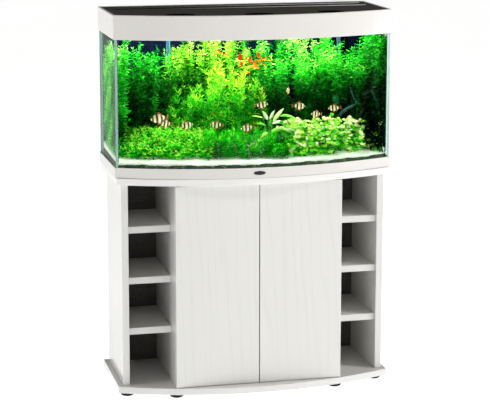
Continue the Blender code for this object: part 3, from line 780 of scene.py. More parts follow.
def stem_mesh(path, radius, shade):
    """The arrays of one tapered stem."""
    points, triangles = loft(tube_rings(path, np.linspace(radius, radius * 0.5, len(path)), 3))
    total = len(points)
    # stems take half of the painted light and shade
    tone = 0.25 + (0.5 * shade(points) if shade is not None else 0)
    return points, triangles, np.broadcast_to(tone, total), np.full(total, 0.4), np.full(total, 0.5)


def inside_tank(points):
    """Presses points that would pass through the glass back to its inner face."""
    points = points.copy()
    points[:, 0] = np.clip(points[:, 0], -SIDE_X, SIDE_X)
    points[:, 1] = np.minimum(points[:, 1], BACK_Y)
    points[:, 1] = np.maximum(points[:, 1], front_y(points[:, 0]) + 0.001)
    points[:, 2] = np.clip(points[:, 2], FLOOR_Z, WATER_TOP)
    return points


# ---- the bed ----
def bed_mesh(name, top_of, bottom_of, material, across=240, deep=70):
    """A closed body over the tank's floor between two height functions."""
    x = np.linspace(-SIDE_X, SIDE_X, across)
    share = np.linspace(0, 1, deep) ** 1.2
    xs = np.repeat(x[None], deep, 0)
    ys = front_y(xs) + 0.0005 + (BACK_Y - front_y(xs) - 0.0005) * share[:, None]
    top = np.stack([xs, ys, top_of(xs, ys)], -1).reshape(-1, 3)
    bottom = np.stack([xs, ys, bottom_of(xs, ys)], -1).reshape(-1, 3)
    index = np.arange(across * deep).reshape(deep, across)
    quads = np.stack([index[:-1, :-1], index[:-1, 1:], index[1:, 1:], index[1:, :-1]], -1)
    count = across * deep
    border = np.concatenate([index[0, :-1], index[:-1, -1], index[-1, :0:-1], index[:0:-1, 0]])
    after = np.roll(border, -1)
    walls = np.stack([border + count, after + count, after, border], -1)
    quads = quads.reshape(-1, 4)
    quads = np.concatenate([quads, quads[:, ::-1] + count, walls])
    triangles = np.concatenate([quads[:, [0, 1, 2]], quads[:, [0, 2, 3]]])
    return mesh_piece(name, np.concatenate([top, bottom]), triangles, material, "sand", sharp=NO_EDGE)


def soil_top(x, y):
    """Where dark soil gives way to white sand."""
    wander = 0.0012 * np.sin(x * 47 + 0.4) + 0.0008 * np.sin(x * 131) + 0.0005 * np.sin(x * 420 + 2)
    return 0.7728 + wander + 0.010 * np.clip((y - front_y(x)) / 0.3, 0, 1)


def make_bed():
    """White sand with a dark layer of soil under it."""
    rng = np.random.default_rng(3)
    grit = rng.normal(0, 0.0004, (70, 240))

    def sand_top(x, y):
        return sand_height(x, y) + grit[: x.shape[0], : x.shape[1]]

    sand = bed_mesh("sand_bed", sand_top, lambda x, y: soil_top(x, y) + 0.0002, sand_material())
    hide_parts("substrate")
    bed_mesh("soil_layer", soil_top, lambda x, y: np.full_like(x, FLOOR_Z + 0.0003), soil_material())


# ---- planting ----
def replace_plants(pieces, node):
    """Hides the plain plant solid of the CAD that the pieces stand in for."""
    for piece in pieces:
        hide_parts(node)


def painted_shading(base, gain, low, high, fall=0.0, edge=0.0, patch=0.0, size=0.06):
    """Painted light and shade for leaf tones: lighter with height from low to high, darker behind edge, in
    soft patches.
    """
    def shade(p):
        return (base + gain * ease(p[:, 2], low, high) - fall * np.clip(p[:, 1] - edge, 0, 1)
                + patch * clump(p, size))
    return shade


def right_painted_shade(p):
    """Painted light and shade for the right group, brightest high up on its left."""
    bright = 0.34 * ease(p[:, 2], 1.04, 1.15) * (1 - ease(p[:, 0], 0.22, 0.34))
    return bright + painted_shading(0.02, 0.39, 0.95, 1.06, 1.9, 0.03, 0.11, 0.05)(p)


def end_painted_shade(p):
    """Painted shade beside the glass in front and painted light behind."""
    return 0.32 * ease(p[:, 1], 0.0, 0.06) + painted_shading(0.10, 0.16, 0.82, 1.12, patch=0.18, size=0.05)(p)


def stems(name, seed, material, shape, shade, *beds):
    """One group of tall stems, from beds of (count, xs, ys, skyline, growth)."""
    plants = Foliage(seed)
    for count, xs, ys, top, growth in beds:
        plants.bed(count, xs, ys, top, **{"spacing": 0.0085, "whorl": 3, **growth})
    return plants.piece(name, material, shape, 2, shade)


def make_background_plants():
    """Tall fine-leaved stems along the back and the right."""
    # each leaf material's second argument is the strength of its painted glow
    dark = leaf_material("leaf_dark", 0.0, (2, 14, 6), (4, 58, 8), (6, 104, 12), (10, 146, 16),
                         (16, 184, 22), (50, 214, 36), (170, 238, 100))
    # the strongest painted glow, for the plants by the left pane
    lit = leaf_material("leaf_end_painted_glow", 0.26, (4, 40, 8), (8, 96, 14), (12, 146, 18), (24, 184, 24),
                        (58, 214, 40), (120, 236, 66), (214, 250, 140))
    yellow = leaf_material("leaf_yellow_green", 0.05, (6, 44, 8), (22, 116, 14), (60, 176, 24),
                           (104, 206, 34), (150, 226, 44), (190, 240, 66), (232, 250, 150))
    fresh = leaf_material("leaf_fresh", 0.03, (2, 20, 6), (5, 78, 10), (9, 130, 14), (15, 170, 20),
                          (34, 202, 28), (100, 232, 48), (210, 248, 120))
    wide = dict(uneven=0.05, leaf=(0.026, 0.0095), spacing=0.011, rise=(-0.3, 0.4))
    left = stems(
        "stems_left", 11, dark, "lance", painted_shading(0.09, 0.36, 0.88, 1.14, 1.6, 0.02, 0.16),
        (44, (-0.435, -0.37, -0.34, -0.28, -0.25), (0.01, 0.16), (1.165, 1.15, 1.10, 1.11, 1.14),
         dict(arm=0.05, arm_gap=0.024, leaf=(0.017, 0.0046), spacing=0.0088)))
    replace_plants(left, "plants_left")
    stems(
        "stems_left_end", 18, lit, "lance", end_painted_shade,
        (62, (-0.446, -0.418), (-0.035, 0.19), (1.12, 1.14),
         dict(ragged=0.10, spread=0.005, arm=0.03, arm_gap=0.020, leaf=(0.018, 0.0056), spacing=0.0095)))
    centre = stems(
        "stems_centre_back", 12, yellow, "lance", painted_shading(0.08, 0.44, 0.98, 1.13, 1.5, 0.09, 0.13, 0.04),
        (48, (-0.27, -0.20, -0.10, 0.0, 0.04), (0.075, 0.165), (1.12, 1.16, 1.17, 1.15, 1.11),
         dict(arm=0.05, arm_gap=0.022, leaf=(0.019, 0.0033), rise=(0.0, 0.8))))
    replace_plants(centre, "plants_centre")
    right = stems(
        "stems_right_back", 13, fresh, "needle", right_painted_shade,
        (46, (0.05, 0.17, 0.26, 0.32, 0.36), (0.05, 0.165), (1.15, 1.17, 1.17, 1.13, 1.11),
         dict(arm=0.055, arm_gap=0.022, leaf=(0.019, 0.0030), rise=(-0.1, 0.8), bare=0.42)))
    replace_plants(right, "plants_right")
    stems(
        "stems_right_side", 16, fresh, "needle", right_painted_shade,
        (44, (0.25, 0.33, 0.37, 0.40, 0.44), (-0.03, 0.08), (1.12, 1.10, 1.11, 1.15, 1.16),
         dict(arm=0.055, arm_gap=0.020, leaf=(0.021, 0.0026), rise=(-0.2, 0.7), bare=0.56, spread=0.014)))
    stems(
        "stems_right_end", 17, fresh, "needle", painted_shading(-0.10, 0.34, 0.99, 1.10, patch=0.10, size=0.05),
        (56, (0.424, 0.446), (-0.095, 0.082), (1.165, 1.17),
         dict(ragged=0.03, spread=0.005, arm=0.032, arm_gap=0.018, leaf=(0.019, 0.0050),
              rise=(-0.2, 0.7), bare=0.50)))
    stems(
        "stems_centre_right", 14, fresh, "needle", right_painted_shade,
        (40, (0.03, 0.10, 0.18, 0.27), (-0.02, 0.06), (1.04, 1.09, 1.10, 1.08),
         dict(arm=0.05, arm_gap=0.022, leaf=(0.020, 0.0032), rise=(-0.1, 0.8), bare=0.25)))
    # dark stems at the back, put there as painted shade behind the others
    stems(
        "stems_painted_shade", 15, dark, "lance", None,
        (56, (-0.43, -0.2, 0.0, 0.2, 0.36), (0.13, 0.185), (1.06, 1.08, 1.07, 1.05, 1.05),
         dict(arm=0.04, arm_gap=0.03, leaf=(0.024, 0.0085), spacing=0.013, lit=0.10, rise=(-0.2, 0.4),
              uneven=0.08)))
    stems(
        "stems_right_wall", 19, dark, "lance", painted_shading(-0.06, 0.26, 0.99, 1.10),
        (26, (0.395, 0.442), (-0.09, 0.08), (0.98, 1.0),
         dict(wide, arm=0.03, arm_gap=0.025, lit=0.02, spread=0.006)),
        (40, (0.438, 0.447), (-0.10, 0.084), (1.16, 1.17),
         dict(wide, arm=0.02, arm_gap=0.020, leaf=(0.026, 0.0110), ragged=0.02, spread=0.003, sway=0.003)))


def make_feather_stems():
    """The feathery bush in the middle, and needle tufts before it and behind the rosette."""
    feather = leaf_material("leaf_feather", 0.06, (4, 44, 8), (10, 112, 12), (18, 168, 16), (38, 202, 20),
                            (84, 226, 28), (150, 240, 36), (225, 243, 60))
    bush = Foliage(21)
    bush.bed(30, (-0.235, -0.185, -0.15, -0.11, -0.05, 0.0, 0.045), (-0.05, 0.035),
             (0.93, 0.99, 1.02, 1.08, 1.06, 1.035, 1.0), ragged=0.05, spread=0.012, arm=0.05,
             arm_gap=0.036, leaf=(0.024, 0.0022), spacing=0.0105, whorl=6, rise=(0.25, 1.0),
             small_tip=0.9, tip_gain=0.26, uneven=0.15)
    bush.piece("feather_stems", feather, "needle", 1,
               painted_shading(0.27, 0.32, 0.92, 1.05, 1.8, -0.03, 0.12, 0.04))
    low = Foliage(22)
    rng = low.rng
    # count, x, y from the pane, lean along x and y, height, leaf, tone, painted light at the tip
    for count, xs, ys, lean_x, lean_y, heights, leaf, tone, tip_gain in (
            (110, (-0.17, 0.07), (0.060, 0.125), (0, 0.014), (-0.004, 0.010), (0.035, 0.085),
             (0.019, 0.0026), (0.24, 0.13), 0.30),
            (34, (0.045, 0.15), (0.040, 0.085), (0, 0.012), (-0.002, 0.008), (0.022, 0.045),
             (0.017, 0.0028), (0.24, 0.10), 0.24),
            (44, (0.045, 0.150), (0.085, 0.150), (0, 0.012), (-0.004, 0.008), (0.035, 0.065),
             (0.018, 0.0030), (0.12, 0.08), 0.20)):
        for _ in range(count):
            x = rng.uniform(*xs)
            base = on_sand(x, front_y(x) + rng.uniform(*ys))
            tip = base + (rng.normal(*lean_x), rng.normal(*lean_y), rng.uniform(*heights))
            low.shoot(base, tip, leaf=leaf, spacing=0.0075, whorl=6, rise=(0.2, 1.0),
                      lit=rng.normal(*tone), small_tip=0.9, tip_gain=tip_gain)
    tuft = leaf_material("leaf_tuft", 0.06, (2, 44, 8), (5, 108, 10), (8, 164, 12), (12, 202, 14),
                         (28, 224, 20), (80, 240, 32), (180, 246, 80))
    low.piece("needle_tufts", tuft, "needle", 1, lambda p: 0.12 * clump(p, 0.035))


def make_red_stems():
    """Thin stems with red leaves above the feathery bush."""
    red_leaf = leaf_material("leaf_red", 0.08, (70, 10, 6), (176, 22, 8), (218, 40, 12), (226, 84, 20),
                             (236, 160, 50))
    red = Foliage(23)
    for x, high_z in ((-0.014, 1.083), (0.016, 1.084), (0.050, 1.090), (0.066, 1.078)):
        red.shoot((x + 0.006, 0.06, 0.96), (x, 0.045, high_z), leaf=(0.012, 0.004), spacing=0.012,
                  whorl=2, bare=0.7, lit=0.4, sway=0.004)
    broad = (  # x, z, direction x, direction z, length, width, tone
        (-0.016, 1.081, 0.0, 1.0, 0.024, 0.013, 0.28), (-0.013, 1.079, 0.25, -1.0, 0.016, 0.010, 0.38),
        (0.020, 1.083, -0.2, 1.0, 0.014, 0.008, 0.30), (0.049, 1.088, -0.25, 1.0, 0.021, 0.011, 0.40),
        (0.055, 1.071, 0.1, 1.0, 0.016, 0.008, 0.50), (0.006, 1.060, 1.0, 0.25, 0.026, 0.006, 0.72),
        (0.052, 1.055, -1.0, 0.22, 0.026, 0.006, 0.70), (-0.002, 1.040, 1.0, 0.25, 0.017, 0.006, 0.62),
        (0.074, 1.081, 1.0, 0.12, 0.017, 0.005, 0.42), (0.010, 1.078, 0.9, 0.5, 0.013, 0.006, 0.45),
        (0.033, 1.072, 0.5, 0.8, 0.014, 0.007, 0.50), (0.001, 1.084, 0.6, 0.7, 0.012, 0.006, 0.35),
        (0.060, 1.084, 0.8, 0.5, 0.014, 0.006, 0.40), (0.040, 1.064, -0.6, 0.7, 0.014, 0.006, 0.55))
    for x, z, out_x, out_z, length, width, tone in broad:
        red.add_leaves((x - 0.005, 0.018, z), (out_x, -0.15, out_z), (0.1, -1.0, 0.35), length * 1.25,
                       width * 1.2, tone)
    for start, end in (((-0.094, 0.04, 1.114), (-0.052, 0.035, 1.092)),
                       ((-0.053, 0.04, 1.113), (-0.075, 0.035, 1.096)),
                       ((-0.104, 0.04, 1.101), (-0.088, 0.035, 1.098))):
        red.shoot(start, end, leaf=(0.010, 0.0028), spacing=0.005, whorl=2, rise=(0.0, 0.2),
                  lit=0.25, sway=0.001, radius=0.0011)
    red.piece("red_stems", red_leaf, "lance", 2)


def make_carpet():
    """The low carpet on the left."""
    material = leaf_material("leaf_carpet", 0.06, (4, 50, 8), (7, 122, 10), (11, 176, 14), (18, 208, 18),
                             (36, 228, 22), (90, 244, 34), (180, 250, 80))
    carpet = Foliage(31)
    rng = carpet.rng
    for _ in range(430):
        x = rng.uniform(-0.442, -0.14)
        edge = max(front_y(x) + 0.060, -0.135)
        y = edge + rng.uniform(0, 1) ** 1.2 * 0.13
        rise = 0.018 + 0.058 * min((y - edge) / 0.07, 1.0) + rng.uniform(-0.006, 0.012)
        base = on_sand(x, y)
        tip = base + (rng.normal(0, 0.012), -0.008 + rng.normal(0, 0.010), rise)
        carpet.shoot(base, tip, leaf=(0.0160, 0.0050), spacing=0.0080, whorl=4, rise=(0.1, 0.9),
                     lit=rng.normal(0.38, 0.20), sway=0.003, tip_gain=0.40, uneven=0.24, face=0.6)
    carpet.piece("carpet_left", material, "lance", 2, lambda p: 0.10 * clump(p, 0.03))


def make_rosette():
    """Broad pale leaves on stalks that spread from one crown."""
    pale = broad_leaf_material("leaf_broad_pale", 0.06, (236, 250, 200), (14, 84, 12), (36, 160, 26),
                               (96, 212, 46), (170, 234, 92), (222, 248, 160), (246, 253, 226))
    rosette = Foliage(32)
    rng = rosette.rng
    crown = on_sand(0.050, -0.092, 0.0)
    # each leaf's tone holds painted light; the palest leaves carry painted highlights
    blades = (  # x, z, direction x, direction z, length, width, tone, curl
        (0.045, 0.900, -0.6, 1.0, 0.040, 0.013, 0.85, 0.05),
        (0.052, 0.896, 0.35, 1.0, 0.043, 0.013, 0.95, 0.05),
        (0.064, 0.890, 0.75, 1.0, 0.064, 0.016, 0.70, 0.10),
        (0.062, 0.884, 1.0, 0.42, 0.064, 0.015, 0.98, 0.45),
        (0.086, 0.908, 1.0, 0.30, 0.066, 0.014, 0.45, 0.50),
        (0.056, 0.858, 0.9, 0.55, 0.044, 0.017, 0.55, 0.25),
        (0.032, 0.906, -1.0, 0.25, 0.040, 0.008, 0.60, 0.05),
        (0.040, 0.880, -0.9, 0.50, 0.040, 0.013, 0.30, 0.25),
        (0.075, 0.872, 1.0, 0.15, 0.050, 0.016, 0.72, 0.45),
        (0.045, 0.858, -0.7, 0.10, 0.036, 0.014, 0.62, 0.60),
        (0.052, 0.850, 0.2, -0.5, 0.030, 0.016, 0.80, 0.30),
        (0.050, 0.876, 0.1, 0.9, 0.040, 0.014, 0.25, 0.10),
        (0.095, 0.880, 0.9, 0.6, 0.046, 0.016, 0.50, 0.35),
        (0.104, 0.868, 1.0, 0.25, 0.048, 0.016, 0.88, 0.50))
    for x, z, out_x, out_z, length, width, tone, curl in blades:
        start = np.array([x, -0.095 + rng.uniform(-0.008, 0.012), z])
        bow = np.linspace(0, 1, 6)[:, None]
        path = crown + (start - crown) * bow + (0, 0, 0.008) * np.sin(bow * np.pi)
        rosette.tubes.append((path, 0.0012))
        rosette.add_leaves(start, (out_x, rng.uniform(-0.5, 0.1), out_z), (-out_z * 0.5, -0.8, 1.0),
                           length, width, tone, curl)
    rosette.piece("broad_rosette", pale, "lance", 6, sharp=NO_EDGE)


def make_round_leaf_bush():
    """The bright bush of round leaves at the front right."""
    bright = broad_leaf_material("leaf_round_bright", 0.08, (214, 246, 150), (4, 48, 8), (10, 132, 12),
                                 (28, 204, 16), (76, 234, 28), (150, 250, 50), (214, 253, 100),
                                 (244, 253, 180))
    bush = Foliage(33)
    rng = bush.rng
    skyline_x = (0.09, 0.152, 0.204, 0.271, 0.31, 0.355, 0.404, 0.44)
    skyline_z = (0.895, 0.898, 0.885, 0.900, 0.882, 0.888, 0.873, 0.855)
    for _ in range(150):
        x = rng.uniform(0.10, 0.440)
        edge = max(front_y(x) + 0.042, -0.150)
        back = rng.uniform(0, 1) ** 1.1 * 0.085
        base = on_sand(x, edge + back)
        reach = (np.interp(x, skyline_x, skyline_z) - base[2]) * min(0.35 + back / 0.055, 1.0)
        tip = base + (rng.normal(0.002, 0.016), -0.010 + rng.normal(0, 0.010),
                      max(reach - rng.uniform(0, 0.022), 0.016))
        bush.shoot(base, tip, leaf=(0.021, 0.0150), spacing=0.0125, whorl=2, rise=(0.0, 0.8),
                   lit=rng.normal(0.42, 0.20), sway=0.004, small_tip=0.8, tip_gain=0.46,
                   uneven=0.26, curl=0.25, face=1.1)
    # x, z, direction x, direction z, length, width, tone
    # the pale tones of these leaves are painted highlights
    for x, z, out_x, out_z, length, width, tone in ((0.317, 0.880, 0.1, 1.0, 0.040, 0.017, 1.0),
                                                    (0.319, 0.888, 1.0, 0.1, 0.030, 0.012, 0.95),
                                                    (0.268, 0.878, -0.2, 1.0, 0.026, 0.014, 0.75),
                                                    (0.425, 0.868, 0.3, 1.0, 0.022, 0.012, 0.9)):
        bush.tubes.append((np.linspace((x + 0.004, -0.085, 0.80), (x, -0.095, z), 5), 0.0012))
        bush.add_leaves((x, -0.095, z), (out_x, -0.2, out_z), (0.1, -1.0, 0.3), length, width, tone, 0.3)
    bush.piece("round_leaf_bush", bright, "round", 3, lambda p: 0.08 * clump(p, 0.03), NO_EDGE)


def make_thicket():
    """Broad leaves behind the bush, kept dark as painted shade."""
    deep = broad_leaf_material("leaf_broad_painted_shade", 0.0, (40, 110, 80), (2, 10, 6), (4, 34, 20),
                               (10, 66, 40), (24, 120, 70), (60, 170, 100))
    thicket = Foliage(34)
    rng = thicket.rng
    for _ in range(90):
        x = rng.uniform(0.16, 0.437)
        y = rng.uniform(0.01, 0.085)
        top = rng.uniform(0.83, 0.955)
        start = np.array([x + rng.normal(0, 0.016), y - rng.uniform(0, 0.02), top])
        angle = rng.uniform(0, 6.28)
        out = np.array([math.cos(angle), math.sin(angle) * 0.7, rng.uniform(-0.3, 0.7)])
        thicket.tubes.append((np.linspace(on_sand(x, y, 0.0), start, 5), 0.0010))
        thicket.add_leaves(start, out, (0, -0.5, 1.0), rng.uniform(0.028, 0.044),
                           rng.uniform(0.012, 0.017), rng.uniform(0.0, 1.0) ** 3 * 0.55, 0.3)
    thicket.tubes.append((np.linspace((0.30, 0.02, 0.80), (0.298, 0.0, 0.960), 6), 0.0014))
    thicket.add_leaves((0.298, 0.0, 0.961), (0.2, -0.1, -1.0), (0.1, -1.0, 0.1), 0.036, 0.026, 0.86, 0.0)
    thicket.piece("shade_thicket", deep, "lance", 5, sharp=NO_EDGE)


# ---- root ----
def make_root():
    """A branching sunken root behind the thicket, as one mesh of tapered limbs."""
    rng = np.random.default_rng(5)
    limbs = [
        ([(0.275, 0.020, 0.79), (0.292, 0.0, 0.86), (0.320, -0.025, 0.908), (0.347, -0.030, 0.924),
          (0.371, -0.030, 0.935), (0.395, -0.030, 0.927)], 0.0085),
        ([(0.369, -0.030, 0.937), (0.355, -0.030, 0.955), (0.347, -0.034, 0.975),
          (0.341, -0.036, 0.990)], 0.0055),
        ([(0.375, 0.0, 0.80), (0.405, -0.05, 0.88), (0.424, -0.085, 0.938), (0.410, -0.086, 0.963),
          (0.400, -0.088, 0.988)], 0.0085),
        ([(0.420, -0.084, 0.943), (0.429, -0.086, 0.963), (0.427, -0.088, 0.980)], 0.0045),
    ]
    parts = []
    for corners, radius in limbs:
        corners = np.array(corners)
        steps = np.linspace(0, len(corners) - 1, 34)
        whole = np.arange(len(corners))
        path = np.stack([np.interp(steps, whole, corners[:, i]) for i in range(3)], -1)
        kernel = np.array([1, 2, 3, 2, 1]) / 9
        padded = np.concatenate([path[:1], path[:1], path, path[-1:], path[-1:]])
        path = np.stack([np.convolve(padded[:, i], kernel, "valid") for i in range(3)], -1)
        wobble = 1 + 0.16 * rng.normal(0, 1, (34, 10))
        wobble = (wobble + np.roll(wobble, 1, 0) + np.roll(wobble, 1, 1)) / 3
        parts.append(loft(tube_rings(path, np.linspace(radius, radius * 0.25, 34), 10, wobble)))
    points, triangles = joined(parts)
    mesh_piece("sunken_root", inside_tank(points), triangles, wood_material(), "plant_green",
               sharp=NO_EDGE)


# ---- fish ----
FISH_STATIONS = (0.0, 0.03, 0.08, 0.16, 0.27, 0.38, 0.50, 0.62, 0.72, 0.80, 0.86)
FISH_TOP = (0.004, 0.034, 0.078, 0.145, 0.215, 0.250, 0.225, 0.165, 0.105, 0.066, 0.058)
FISH_BELLY = (0.004, 0.038, 0.082, 0.145, 0.210, 0.240, 0.220, 0.160, 0.095, 0.058, 0.053)
FISH_THICK = (0.004, 0.030, 0.052, 0.075, 0.088, 0.088, 0.078, 0.058, 0.038, 0.022, 0.012)


def fin_plate(outline, tone_root, tone_edge):
    """A closed thin fin from (x, z) points, the first two of which lie on the body."""
    outline = np.array(outline)
    count = len(outline)
    flat = np.concatenate([np.stack([outline[:, 0], np.full(count, y), outline[:, 1]], -1)
                           for y in (-0.006, 0.006)])
    triangles = []
    for i in range(1, count - 1):
        triangles.append((0, i, i + 1))
        triangles.append((count, count + i + 1, count + i))
    for i in range(count):
        j = (i + 1) % count
        triangles += [(i, count + i, count + j), (i, count + j, j)]
    tone = np.full(count, tone_edge)
    tone[:2] = tone_root
    return flat, np.array(triangles), np.tile(tone, 2)


def make_fish(name, place, length, heading, tilt, swing, material, eye):
    """One small deep-bodied fish. heading turns it about Z, with its head towards -X at 0."""
    angles = np.arange(14) * 2 * np.pi / 14
    rings = []
    for s, top, belly, thick in zip(FISH_STATIONS, FISH_TOP, FISH_BELLY, FISH_THICK):
        height = np.where(np.sin(angles) > 0, top, belly) * np.sin(angles)
        rings.append(np.stack([np.full(14, s), thick * np.cos(angles), height], -1))
    points, triangles = loft(np.array(rings))
    along = points[:, 0]
    across = np.clip(points[:, 2] / 0.2, -1, 1)
    tone = np.zeros(len(points))
    parts = [(points, triangles, tone, along, across)]
    fins = [  # (x, z) outline, tone at the root and at the edge
        ([(0.36, 0.235), (0.60, 0.16), (0.64, 0.19), (0.56, 0.265), (0.47, 0.335), (0.41, 0.315)],
         1.0, 1.55),
        ([(0.72, -0.09), (0.58, -0.17), (0.60, -0.25), (0.65, -0.27), (0.71, -0.18)], 1.1, 1.6),
        ([(0.46, -0.22), (0.38, -0.23), (0.36, -0.29), (0.41, -0.345), (0.47, -0.29)], 1.9, 2.0),
        ([(0.86, 0.050), (0.86, -0.050), (0.92, -0.09), (0.99, -0.15), (0.975, -0.08), (0.955, 0.0)],
         1.2, 1.6),
        ([(0.86, -0.050), (0.86, 0.050), (0.955, 0.0), (0.975, 0.08), (0.99, 0.15), (0.92, 0.09)],
         1.2, 1.6),
    ]
    plates = [fin_plate(*fin) for fin in fins]
    for side in (-1, 1):
        flat, faces, tones = fin_plate([(0.26, -0.05), (0.26, -0.10), (0.36, -0.15), (0.40, -0.11)], 1.3, 1.8)
        flat[:, 1] = flat[:, 1] * 0.6 + side * (0.075 + (flat[:, 0] - 0.26) * 0.35)
        plates.append((flat, faces, tones))
    parts += [(*plate, np.full(len(plate[0]), 0.45), np.zeros(len(plate[0]))) for plate in plates]
    points, triangles, tone, along, across = joined(parts)

    def placed(raw):
        bent = raw.copy()
        bent[:, 1] += swing * np.clip(raw[:, 0] - 0.35, 0, 1) ** 2
        bent[:, 0] -= 0.5
        turn = Matrix.Rotation(heading, 3, "Z") @ Matrix.Rotation(tilt, 3, "Y")
        return (bent * length) @ np.array(turn).T + np.array(place)

    mesh_piece(name, placed(points), triangles, material, "plant_green", sharp=50, tone=tone,
               along=along, across=across)
    eyes = []
    for side in (-1, 1):
        levels = np.linspace(0.15, np.pi - 0.15, 7)[:, None]
        turns = np.arange(10) * 2 * np.pi / 10
        ball = np.stack([np.sin(levels) * np.cos(turns), np.repeat(np.cos(levels), 10, 1),
                         np.sin(levels) * np.sin(turns)], -1)
        ball_points, ball_faces = loft(ball if side > 0 else ball[::-1])
        eyes.append((ball_points * (0.024, 0.012, 0.024) + (0.105, side * 0.052, 0.022), ball_faces,
                     np.clip(ball_points[:, 1] * side, 0, 1)))
    points, triangles, depth = joined(eyes)
    mesh_piece(f"{name}_eyes", placed(points), triangles, eye, "plant_green", sharp=NO_EDGE, along=depth)


def make_shoal():
    """Ten fish, most of them facing left."""
    skin = fish_material()
    eye = eye_material()
    shoal = [
        # x, y, z, length, heading in degrees, tilt, tail swing
        (-0.312, -0.100, 0.918, 0.062, 8, -6, 0.10), (-0.226, -0.095, 0.891, 0.050, 192, 4, -0.12),
        (-0.124, -0.100, 0.890, 0.046, -6, 3, 0.10), (-0.022, -0.100, 0.876, 0.050, 10, -3, -0.10),
        (0.020, -0.105, 0.951, 0.046, 160, 8, 0.12), (0.112, -0.105, 0.995, 0.042, 60, 0, 0.10),
        (0.146, -0.105, 0.943, 0.048, 186, -4, -0.10), (0.209, -0.100, 0.914, 0.042, 14, 6, 0.10),
        (0.270, -0.100, 0.932, 0.044, -12, -5, -0.10), (-0.288, -0.085, 0.898, 0.050, 16, 10, 0.14),
    ]
    for i, (x, y, z, length, heading, tilt, swing) in enumerate(shoal, 1):
        make_fish(f"fish_{i}", (x, y, z), length, math.radians(heading), math.radians(tilt), swing,
                  skin, eye)


# ---- small parts of the tank ----
def make_badge():
    """A plain oval badge, slightly domed, on the middle of the bottom frame."""
    height = (FRAME_LOW.z + FRAME_TOP) / 2
    turns = np.arange(40) * 2 * np.pi / 40
    rings = []
    for share, out in ((1.0, 0.0002), (1.0, 0.0012), (0.92, 0.0017), (0.82, 0.0013), (0.4, 0.0018),
                       (0.02, 0.0020)):
        x = -0.009 + 0.0195 * share * np.cos(turns)
        z = height + 0.0062 * share * np.sin(turns)
        rings.append(np.stack([x, front_y(x, FRAME_RADIUS) - out, z], -1))
    points, triangles = loft(np.array(rings))
    mesh_piece("badge_oval", points, triangles, badge_material(), "lid_plastic", sharp=40)


def make_finger_dishes(material):
    """A shallow oval dish at each flap's front edge, black as painted shade of a finger recess."""
    turns = np.arange(48) * 2 * np.pi / 48
    for name in ("lid_flap_left", "lid_flap_centre", "lid_flap_right"):
        low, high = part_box(name)
        x0 = (low.x + high.x) / 2
        y0 = front_y(x0, FRAME_RADIUS - 0.010) + 0.042
        rings = []
        for share, drop in ((1.0, -0.0003), (0.97, 0.0005), (0.90, 0.0004), (0.6, 0.0002), (0.03, 0.0001)):
            x = x0 + 0.049 * share * np.cos(turns)
            y = y0 + 0.033 * share * np.sin(turns)
            rings.append(np.stack([x, y, np.full(48, high.z + drop)], -1))
        points, triangles = loft(np.array(rings))
        mesh_piece(name.replace("lid_flap", "finger_dish"), points, triangles, material,
                   "lid_plastic", name.replace("lid_", ""), sharp=40)


def make_lid_strips(dark):
    """The channel, black as painted shade of a groove, and two beads with a painted highlight, on the lid
    behind the flaps' hinges.
    """
    bead = bead_material()
    hinge_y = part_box("lid_flap_left")[1].y
    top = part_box("lid_frame")[1].z
    strips = (  # name, y offset, width, height, material
        # the channel's black is painted shade of a groove
        ("lid_channel", 0.036, 0.036, 0.0004, dark),
        ("lid_bead_front", 0.012, 0.0060, 0.0020, bead),
        ("lid_bead_back", 0.090, 0.0060, 0.0016, bead))
    for name, offset, width, height, material in strips:
        arch = np.linspace(0, np.pi, 9)
        section = [(math.cos(a) * width / 2, math.sin(a) * height) for a in arch]
        section = section + [(-width / 2, -0.0002), (width / 2, -0.0002)]
        rings = []
        for x in np.linspace(-0.425, 0.425, 60):
            end = math.sqrt(max(1 - (abs(x) / 0.4255) ** 40, 0.0001))
            rings.append([(x, hinge_y + offset + dy * end, top + dz) for dy, dz in section])
        points, triangles = loft(np.array(rings))
        mesh_piece(name, points, triangles, material, "lid_plastic", "hood", sharp=50)


def make_seams():
    """Silicone fillets in the tank's four upright corners."""
    silicone = seam_material()
    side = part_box("glass_left")[1].x
    corner_y = front_y(side, INNER_RADIUS + 0.001)
    size = 0.0042  # along each pane
    for name, x, y, into_x, into_y in (
        ("front_left", side, corner_y, 1, 1), ("front_right", -side, corner_y, -1, 1),
        ("back_left", side, BACK_Y + 0.001, 1, -1), ("back_right", -side, BACK_Y + 0.001, -1, -1)):
        section = [(0.0004, 0.0004), (size, 0.0004), (size * 0.45, size * 0.45), (0.0004, size)]
        rings = []
        for z in np.linspace(0.802 if into_y < 0 else 0.780, WATER_TOP, 12):
            ring = [(x + into_x * dx, y + into_y * dy, z) for dx, dy in section]
            rings.append(ring if into_x * into_y > 0 else ring[::-1])
        points, triangles = loft(np.array(rings))
        points[:, 1] = np.maximum(points[:, 1], front_y(points[:, 0], INNER_RADIUS + 0.0006))
        mesh_piece(f"seam_{name}", points, triangles, silicone, "glass")


# ---- stage, light and camera ----
SKY_LEVEL = 0.12  # the sky's strength above the horizon


